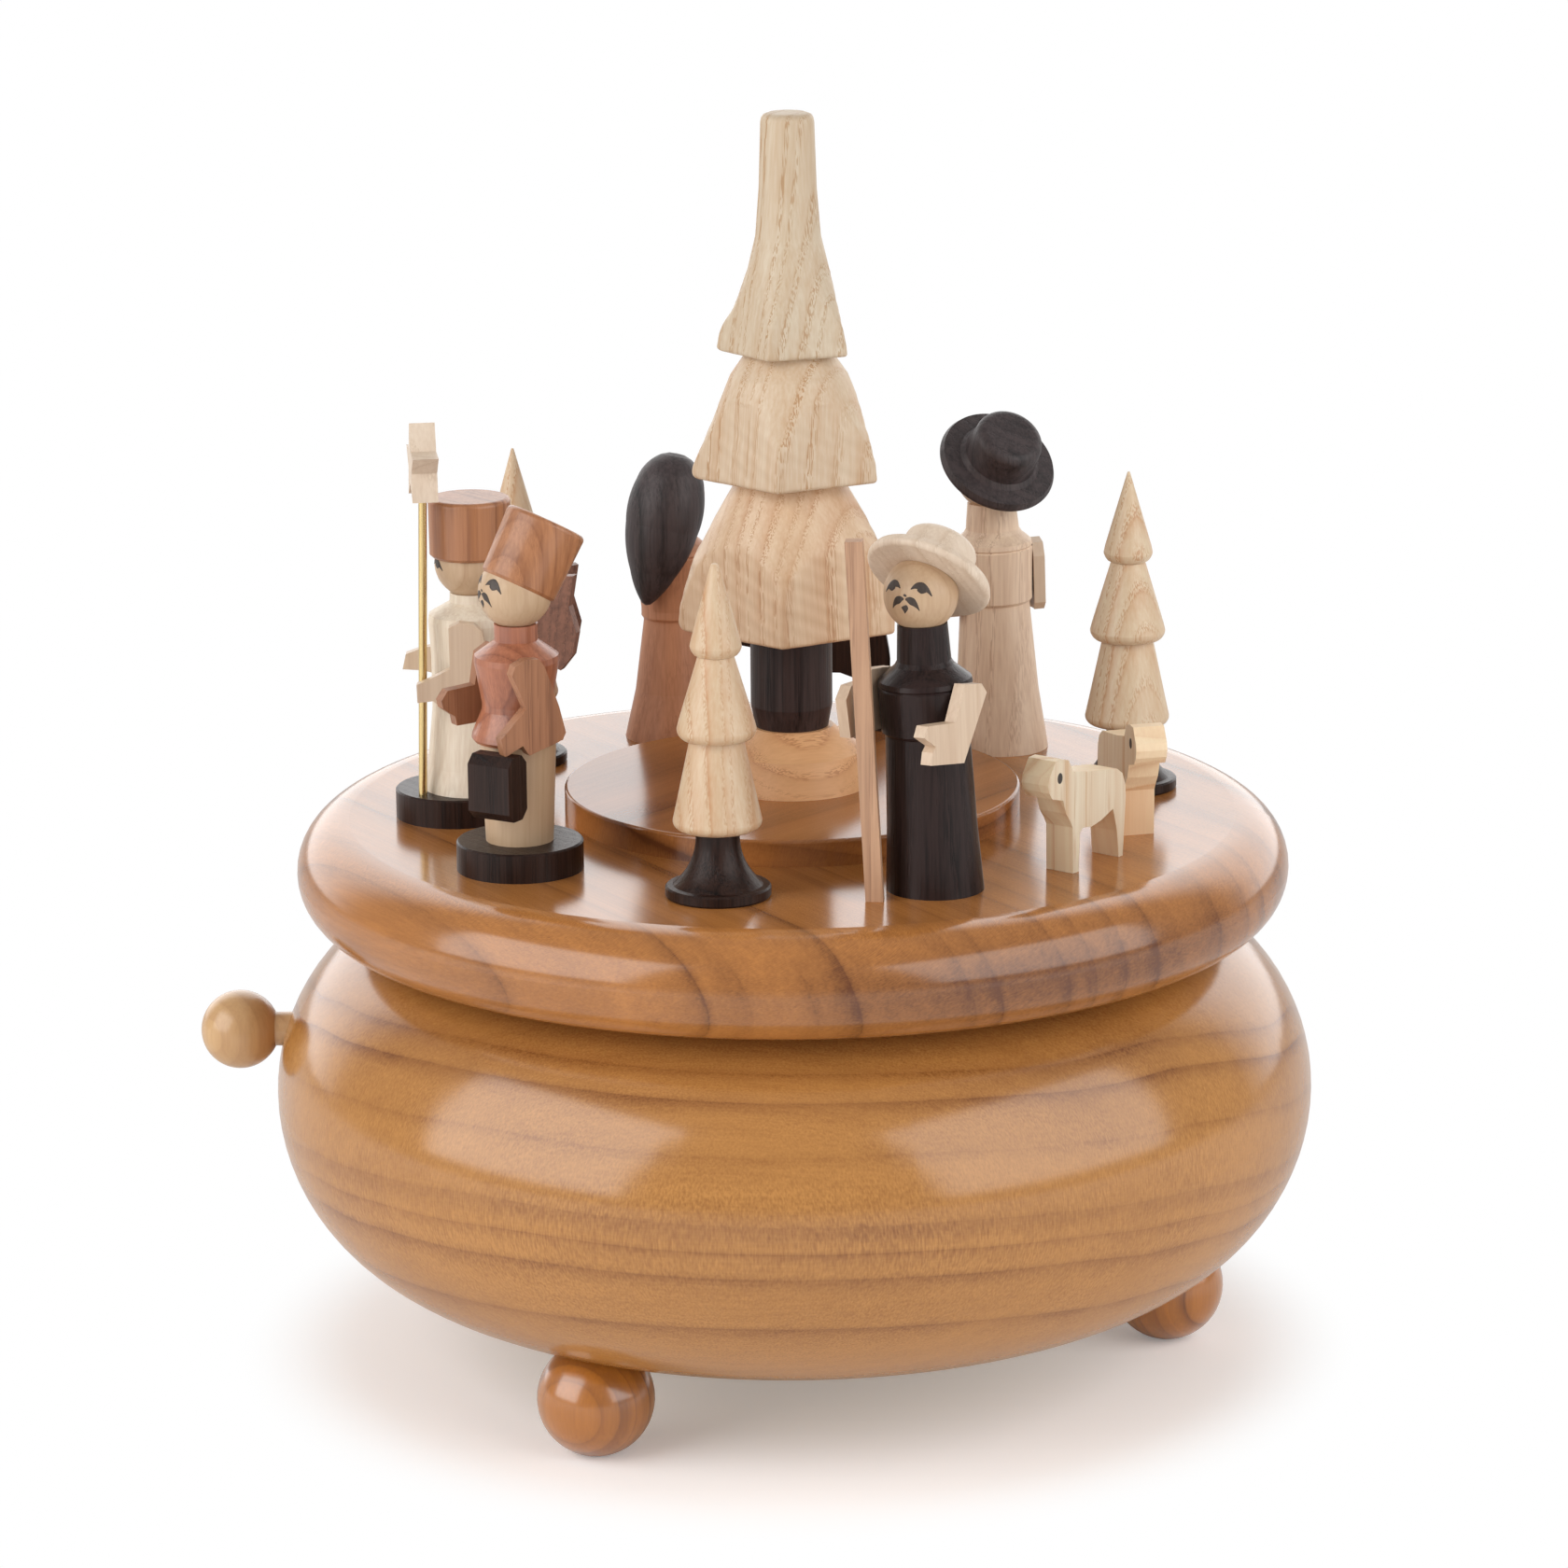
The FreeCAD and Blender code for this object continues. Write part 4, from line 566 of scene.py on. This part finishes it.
plum_wings = wood("plum_wings", rgb(135, 90, 69), rgb(79, 46, 34), pith=(0.03, 0.07, 0),
                  turn=(35, 0, 0), ring=0.002, line=0.5, mottle=0.3, fibre=0.9, pores=0.8,
                  rough=0.45, relief=0.2)
print("pear, plum and beech for drum hats, jacket, veiled robe, arms, wings and staff")

# %% [markdown]
# ## Black stain
# A water stain turns beech nearly black, but it sinks in unevenly and raises the fibres. The wood
# stays readable as pale threads in a dark, slightly brown ground. Four batches of stain differ in
# tone and shine, and share their rings.

# %% Black stain
def black(name, pale, dark, rough, shine, mottle=0.4, fibre=1.1):
    """Beech under black stain, with raised fibres and a satin surface."""
    return wood(name, pale, dark, pith=(0.04, 0.06, 0), ring=0.0022, line=0.5, mottle=mottle,
                fibre=fibre, pores=0.5, rough=rough, shine=shine, relief=0.5)


black_stain = black("black_stain", rgb(52, 35, 29), rgb(16, 9, 8), 0.33, 0.2)
black_robe = black("black_robe", rgb(48, 35, 33), rgb(14, 9, 9), 0.3, 0.2)
black_trunk = black("black_trunk", rgb(62, 47, 44), rgb(18, 12, 12), 0.33, 0.25)
black_felt = black("black_felt", rgb(72, 61, 61), rgb(27, 22, 22), 0.5, 0.4, mottle=0.3, fibre=0.9)
print("node materials so far:", len([m for m in bpy.data.materials if m.use_nodes]))

# %% [markdown]
# ## Metals
# The movement inside is brass and steel, and the star's staff is a brass wire. Metal needs little
# colour and much surface: fine scratches change its roughness from place to place.

# %% Metal recipe
SCRATCH_LUMPS, SCRATCH_DEPTH = 900, 0.00005


def metal(name, colour, rough):
    """Bare metal whose roughness wavers with a fine noise, as rolling and polishing leave it."""
    b = Bench(bpy.data.materials.new(name))
    fine = b.noise(b.vector("MULTIPLY", b.place(), (1, 1, 0.1)), SCRATCH_LUMPS, 3)
    b.bump(fine, 0.03, SCRATCH_DEPTH)
    tone = b.mix(fine, colour, [0.8 * v for v in colour[:3]] + [1])
    gloss = b.sum("MULTIPLY_ADD", fine, 0.15, rough)
    return b.finish(Base_Color=tone, Metallic=1.0, Roughness=gloss)


brass = metal("brass", (0.80, 0.60, 0.28, 1), 0.16)
steel = metal("steel", (0.62, 0.62, 0.63, 1), 0.24)
spring_steel = metal("spring_steel", (0.20, 0.24, 0.34, 1), 0.25)
plated = metal("plated", (0.72, 0.70, 0.66, 1), 0.14)
print("metals:", brass.name, steel.name, spring_steel.name, plated.name)

# %% [markdown]
# ## Dressing the solids
# One table says which finish each piece of the frame wears, from the bowl down to the screws
# inside. The finishes are worked out in space, so a piece needs no unwrapping, and its grain runs
# on over every edge.

# %% Dress the solids
FINISH = {
    cherry_bowl: ["bowl"], cherry_lid: ["lid"], cherry_disc: ["centre_disc"], foot_cherry: ["ball_feet"],
    knob_wood: ["stop_knob", "stop_rod"], ash_low: ["tree_tier_low"], ash_base: ["tree_base"],
    ash_tree: ["tree_tier_top"], ash_middle: ["tree_tier_middle"], ash_fir: ["fir_crowns"],
    ash_sheep: ["sheep"], maple: ["light_arms"], maple_face: ["figure_heads", "lantern_trousers"],
    maple_hat: ["shepherd_hat", "angel_star"], maple_robe: ["angel_robe"], beech_robe: ["herder_robe"],
    pink_beech: ["shepherd_staff"], veil_pear: ["veiled_robe"],
    pear: ["drum_hats"], plum_jacket: ["lantern_jacket"], plum_wings: ["angel_wings"],
    pear_arms: ["lantern_arms"],
    black_trunk: ["tree_trunk"], black_robe: ["shepherd_robe"],
    black_stain: ["fir_feet", "plinths", "lantern", "donkey"],
    black_felt: ["herder_hat", "veil"],
    board_wood: ["base_board", "foot_dowels"],
    brass: ["angel_staff", "spring_barrel", "barrel_cap", "cylinder", "cylinder_bearings",
            "bedplate", "cylinder_wheel", "worm_wheel", "governor_fan", "governor_frame",
            "spindle_bush", "hub_flange"],
    steel: ["spindle", "winding_arbor", "comb", "comb_block", "machine_screws", "hub_screws",
            "wood_screws", "cylinder_pins", "cylinder_arbor", "governor_arbor", "stop_wire"],
    spring_steel: ["mainspring"],
    plated: ["winding_key"],
}
for finish, names in FINISH.items():
    for name in names:
        slots = nodes[name].data.materials
        slots.clear()
        slots.append(finish)
dressed = {name for names in FINISH.values() for name in names}
print("dressed:", len(dressed), "left bare:", sorted(set(nodes) - dressed))

# %% [markdown]
# ## One way to make a closed surface
# The carved tiers and the painted strokes are all rings of points, one above the other. Neighbouring
# rings are joined by four-sided faces, and the first and last ring are closed by a fan of triangles
# round their middle. If the faces come out looking inwards, the volume they enclose is negative,
# and then every face is turned over.

# %% Skin over rings
MM = 0.001


def skin(name, rings, material, body):
    """Joins rings (rows x around x 3, in metres) into one closed surface that looks outwards."""
    rows, around = rings.shape[:2]
    points = np.vstack([rings.reshape(-1, 3), rings[0].mean(0), rings[-1].mean(0)])
    cell = np.arange(rows * around).reshape(rows, around)
    beside = np.roll(cell, -1, axis=1)
    quads = np.stack([cell[:-1], beside[:-1], beside[1:], cell[1:]], -1).reshape(-1, 4)
    low = np.stack([np.full(around, rows * around), beside[0], cell[0]], -1)
    high = np.stack([np.full(around, rows * around + 1), cell[-1], beside[-1]], -1)
    corners = points[np.vstack([quads[:, :3], quads[:, [0, 2, 3]], low, high])]
    volume = np.einsum("ij,ij->", corners[:, 0], np.cross(corners[:, 1], corners[:, 2]))
    faces = quads.tolist() + low.tolist() + high.tolist()
    if volume < 0:
        faces = [face[::-1] for face in faces]
    mesh = bpy.data.meshes.new(name)
    mesh.from_pydata(points.tolist(), [], faces)
    mesh.polygons.foreach_set("use_smooth", np.ones(len(faces), dtype=bool))
    mesh.materials.append(material)
    piece = bpy.data.objects.new(name, mesh)
    bpy.context.scene.collection.objects.link(piece)
    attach(piece, body)
    return piece


print("a skin needs rows of points that all have the same count")

# %% [markdown]
# ## The tree's whittled tiers
# Each tier was turned as a bell, and then a knife took five flats off it, from the hem upwards. At
# an angle and a height, the surface is therefore the smallest of several distances: the bell's own
# radius, and for each flat its distance from the axis over the cosine of the angle between. A
# plain minimum has edges like glass. A soft minimum, the logarithm of a sum of exponentials,
# rounds every edge a little, as a knife and some sanding do. Slow ripples finish the cut.

# %% Soft minimum and ripples
KNIFE_SOFTNESS = 0.24
RIPPLE = 0.035


def soft_minimum(values, softness):
    """m - s ln(sum of exp((m - v) / s)), for the smallest value m and the softness s."""
    nearest = values.min(0)
    return nearest - softness * np.log(np.exp((nearest - values) / softness).sum(0))


def ripples(z, angle):
    """Three slow waves over height and angle, between -3 and 3 together."""
    return (np.sin(1.3 * z + 5 * angle) + np.sin(0.61 * z - 9 * angle + 2)
            + np.sin(2.3 * z + 17 * angle))


def end_rings(radii, around, shares, height):
    """Smaller copies of an end row, flat at one height, which close it towards the axis."""
    shares = np.array(shares)[:, None]
    return np.stack([shares * radii * np.cos(around), shares * radii * np.sin(around),
                     np.full((len(shares), len(around)), height)], -1)


print("soft minimum of 10.0 and 10.1:",
      round(float(soft_minimum(np.array([10.0, 10.1]), KNIFE_SOFTNESS)), 3))

# %% [markdown]
# ## Cutting the three tiers
# The knife starts at the hem and runs out at a height of its own on each tier. The tiers differ in
# their bell, in how far the flats lean inwards, and in their wood. The carved surface then takes the
# place of the plain bell of the frame, with the same foot and the same top.

# %% Whittled tiers
AROUND = 640
HEM_ROWS, SIDE_ROWS, TOP_ROWS = 6, 76, 9
HEM_ROUND, TOP_ROUND = 0.7, 1.6


def whittled(name, profile, flats, lean, reach, material):
    """A bell of (radius, height) points with flats of (azimuth, distance), all in millimetres.

    The flats lean inwards by 'lean' degrees, and above the height 'reach' the knife runs out."""
    base_z, top_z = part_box(name)[0][2] / MM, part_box(name)[1][2] / MM
    height = top_z - base_z
    around = np.linspace(0, 2 * np.pi, AROUND, endpoint=False)
    hem = HEM_ROUND * (1 - np.cos(np.linspace(0, np.pi / 2, HEM_ROWS)))
    middle = np.linspace(hem[-1], height - TOP_ROUND, SIDE_ROWS)
    top = height - TOP_ROUND * np.cos(np.linspace(0, np.pi / 2, TOP_ROWS))
    angle, z = np.meshgrid(around, np.concatenate([hem, middle[1:], top[1:]]))
    radii, heights = np.transpose(profile)
    reaches = [np.interp(z, heights, radii)]
    for azimuth, distance in flats:
        plane = distance - z * math.tan(math.radians(lean)) + 0.9 * np.maximum(0, z - reach)
        reaches.append(plane / np.maximum(np.cos(angle - math.radians(azimuth)), 0.05))
    r = soft_minimum(np.array(reaches), KNIFE_SOFTNESS)
    r = r + RIPPLE * (ripples(z, angle) - 3) * np.clip((reach + 2 - z) / 6, 0, 1)
    below = HEM_ROUND - np.minimum(z, HEM_ROUND)
    r = r - (HEM_ROUND - np.sqrt(np.maximum(HEM_ROUND ** 2 - below ** 2, 0)))
    side = np.stack([r * np.cos(angle), r * np.sin(angle), z], -1)
    rings = np.concatenate([end_rings(r[0], around, (0.2, 0.55, 0.85), 0), side,
                            end_rings(r[-1], around, (0.85, 0.55, 0.2), height)])
    piece = skin(name + "_carved", (rings + (0, 0, base_z)) * MM, material, "turntable")
    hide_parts(name)
    print(name, "height", round(height, 1), "mm, faces", len(piece.data.polygons))


whittled("tree_tier_low",
         [(19.2, 0), (19.8, 1.5), (19.2, 4.8), (17.0, 12.0), (13.1, 19.4), (9.0, 26.5)],
         [(-131, 14.6), (-59, 14.7), (20, 14.9), (82, 15.2), (143, 14.8)],
         lean=0.5, reach=20, material=ash_low)
whittled("tree_tier_middle",
         [(16.7, 0), (17.4, 1.2), (15.7, 4.5), (13.0, 10.8), (10.1, 18.0), (7.3, 22.0)],
         [(-135, 12.6), (-62, 12.7), (17, 12.7), (80, 13.0), (139, 12.8)],
         lean=5.0, reach=14, material=ash_middle)
whittled("tree_tier_top",
         [(12.3, 0), (13.1, 1.1), (11.7, 4.2), (9.5, 7.6), (7.0, 14.2), (5.6, 20.0), (4.95, 28.2),
          (4.6, 39.4), (4.48, 40.1), (4.2, 40.6), (3.75, 40.9), (3.2, 41.0)],
         [(-143, 9.6), (-71, 9.5), (5, 9.6), (72, 10.0), (135, 9.9)],
         lean=9.5, reach=13, material=ash_tree)

# %% [markdown]
# ## Painted faces
# The faces are a few dabs of dark paint. A dab follows a short path over a ball, so the balls have
# to be found first: the heads are one group of solids, its loose parts are told apart by their
# shared corners, and a sphere is fitted to each by least squares.

# %% Find the heads
# A flat cut on a ball has corners of its own, and far fewer than the ball.
BALL_CORNERS = 200


def loose_parts(mesh):
    """Sets of vertices that hang together, found by passing the smallest label along the edges."""
    edges = np.empty(len(mesh.edges) * 2, dtype=np.int64)
    mesh.edges.foreach_get("vertices", edges)
    edges = edges.reshape(-1, 2)
    label = np.arange(len(mesh.vertices))
    changed = True
    while changed:
        before = label.copy()
        smallest = np.minimum(label[edges[:, 0]], label[edges[:, 1]])
        np.minimum.at(label, edges[:, 0], smallest)
        np.minimum.at(label, edges[:, 1], smallest)
        label = label[label]
        changed = bool((label != before).any())
    return [np.flatnonzero(label == one) for one in np.unique(label)]


def fitted_ball(points):
    """|p|^2 = 2 p.c + (r^2 - |c|^2) is linear in its four unknowns, so one solve gives the ball."""
    known = np.column_stack([2 * points, np.ones(len(points))])
    answer = np.linalg.lstsq(known, (points ** 2).sum(1), rcond=None)[0]
    centre = answer[:3]
    return centre, float(np.sqrt(answer[3] + centre @ centre))


def heads_found(mesh):
    """The fitted ball of every head, under its x and y in whole millimetres."""
    points = np.empty(len(mesh.vertices) * 3)
    mesh.vertices.foreach_get("co", points)
    points = points.reshape(-1, 3)
    balls = {}
    for part in loose_parts(mesh):
        if len(part) > BALL_CORNERS:
            centre, radius = fitted_ball(points[part])
            balls[round(centre[0] / MM), round(centre[1] / MM)] = (centre, radius)
    return balls


heads = heads_found(nodes["figure_heads"].data)
for place, (centre, radius) in heads.items():
    print("head at", place, "mm, radius", round(radius / MM, 2), "mm")

# %% [markdown]
# ## Strokes of a fine brush
# A stroke is drawn in angles on the ball: how far to the side of the nose, and how far above or
# below it. Three points bend its middle line, a list of widths makes it swell and thin out, and
# its ends are rounded. The dab has a little thickness, like paint that stands on the wood.

# %% Brush strokes
paint = wood("face_paint", rgb(66, 54, 46), rgb(34, 27, 23), ring=0.001, fibre=0.8, mottle=0.3,
             rough=0.5)
FILM_MIDDLE, FILM_SWING = 0.01, 0.035
STEPS, LAP_POINTS = 14, 12


def bent_line(path, steps):
    """The curve (1-t)^2 a + 2 t (1-t) b + t^2 c that passes all three points of the path."""
    first, through, last = np.array(path, dtype=float)
    weights = np.stack([(1 - steps) ** 2, 2 * steps * (1 - steps), steps ** 2], -1)
    return weights @ np.array([first, 2 * through - (first + last) / 2, last])


def stroke(name, head, facing, path, widths):
    """A flat dab along a bent path of (side, up) degrees, with widths in degrees as well."""
    centre, radius = head
    steps = np.linspace(0, 1, STEPS)
    side, up = np.radians(bent_line(path, steps)).T
    fullness = np.interp(steps, np.linspace(0, 1, len(widths)), widths)
    width = fullness * np.sin(np.pi * (0.06 + 0.88 * steps)) ** 0.4
    turn = (Matrix.Rotation(math.radians(facing[0]), 3, "Z")
            @ Matrix.Rotation(-math.radians(facing[1]), 3, "Y"))
    local = np.stack([np.cos(up) * np.cos(side), np.cos(up) * np.sin(side), np.sin(up)], -1)
    middle_line = local @ np.array(turn).T
    across = np.cross(middle_line, np.gradient(middle_line, axis=0))
    across /= np.linalg.norm(across, axis=1)[:, None]
    lap = np.linspace(0, 2 * np.pi, LAP_POINTS, endpoint=False)
    spread = np.radians(width)[:, None, None] / 2 * across[:, None] * np.cos(lap)[None, :, None]
    way = middle_line[:, None] + spread
    way /= np.linalg.norm(way, axis=2)[:, :, None]
    film = (FILM_MIDDLE + FILM_SWING * np.sin(lap)) * MM
    rings = centre + way * (radius + film)[None, :, None]
    skin(name, rings, paint, "turntable")


print("a stroke is a skin over", STEPS, "rings of", LAP_POINTS, "points")

# %% [markdown]
# ## Five faces
# Each face looks along its own azimuth and a little up or down. All have two eyes, each a bent
# lash line with a short dab below it, and a mouth. The lantern bearer and the two herders also
# have a nose and a moustache.

# %% Faces
def face(name, place, facing, moustache):
    """Two eyes and a mouth on every face, and a nose and a moustache on some."""
    head = heads[place]
    for hand, side in (("left", 1), ("right", -1)):
        stroke(f"{name}_eye_{hand}", head, facing, [(9 * side, 8), (25 * side, 14), (42 * side, 0)],
               [3, 10, 13, 9, 3])
        stroke(f"{name}_pupil_{hand}", head, facing, [(19 * side, 9), (26 * side, 8), (33 * side, 7)],
               [8, 11, 8])
        if moustache:
            stroke(f"{name}_moustache_{hand}", head, facing,
                   [(1.5 * side, -8), (13 * side, -11), (25 * side, -24)], [5, 11, 12, 7, 2])
    if moustache:
        stroke(f"{name}_nose", head, facing, [(-2, -1), (0, -2), (3, -3)], [3.5, 4, 3.5])
    stroke(f"{name}_mouth", head, facing, [(-1, -18), (0, -23), (-1, -31)], [13, 11, 2])


# The head's x and y in millimetres, where it looks, in degrees around and up, and whether it has a
# moustache.
FACES = {"angel": ((-55, -2), (180, -9), False),
         "lantern_bearer": ((-46, -38), (-152, 10), True),
         "veiled": ((-22, 53), (90, -4), False),
         "shepherd": ((21, -53), (-117, 11), True),
         "herder": ((36, 43), (110, 11), True)}
for name, (place, facing, moustache) in FACES.items():
    face(name, place, facing, moustache)
print("faces:", ", ".join(FACES))

# %% [markdown]
# ## Eyes for the sheep
# A sheep is a sawn board, so its eye is an oval dab on each flank. The four rings of a dab rise
# from just inside the wood to a low dome.

# %% Sheep eyes
HALF_BOARD = 2.75
EYE_FORWARD, EYE_HEIGHT = 10.2, 17.2
EYE_HALF_WIDTH, EYE_HALF_HEIGHT = 0.72, 0.95


def eye_dab(name, x, y, facing, side):
    """An oval of paint on one flank of the sheep at x and y, all in millimetres."""
    turn = math.radians(facing)
    forward = np.array([math.cos(turn), math.sin(turn), 0])
    left = np.array([-math.sin(turn), math.cos(turn), 0])
    foot = np.array([x, y, 0])
    lap = np.linspace(0, 2 * np.pi, 20, endpoint=False)
    rings = []
    for size, lift in ((1.0, -0.02), (0.97, 0.02), (0.7, 0.04), (0.3, 0.05)):
        flat = EYE_FORWARD * forward + EYE_HALF_WIDTH * size * np.cos(lap)[:, None] * forward
        rise = EYE_HEIGHT + EYE_HALF_HEIGHT * size * np.sin(lap)
        flank = side * (HALF_BOARD + lift) * left
        rings.append(foot + flat + flank + np.outer(rise, (0, 0, 1)))
    rings = np.array(rings) + (0, 0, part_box("sheep")[0][2] / MM)
    skin(name, rings * MM, paint, "turntable")


for number, (x, y, facing) in enumerate(SHEEP):
    for hand, side in (("left", 1), ("right", -1)):
        eye_dab(f"sheep_{number}_eye_{hand}", x, y, facing, side)
painted = [o for o in bpy.data.objects if "_eye" in o.name or "_mouth" in o.name]
print("painted:", len(painted), "eyes and mouths")

# %% [markdown]
# ## Softened edges
# Sawn pieces leave the bench with edges that sandpaper has touched. A bevel that only looks at
# sharp corners takes a few tenths of a millimetre off them, and the light finds every edge.

# %% Sanded edges
SHARP = math.radians(35)
SANDED = {"sheep": 0.45, "donkey": 0.5, "light_arms": 0.25, "lantern_arms": 0.3, "angel_wings": 0.3,
          "angel_star": 0.2, "shepherd_staff": 0.15, "lantern": 0.3}
for name, width in SANDED.items():
    edge = nodes[name].modifiers.new("sanded", "BEVEL")
    edge.width = width * MM
    edge.segments = 3
    edge.limit_method = "ANGLE"
    edge.angle_limit = SHARP
print("sanded:", ", ".join(SANDED))

# %% [markdown]
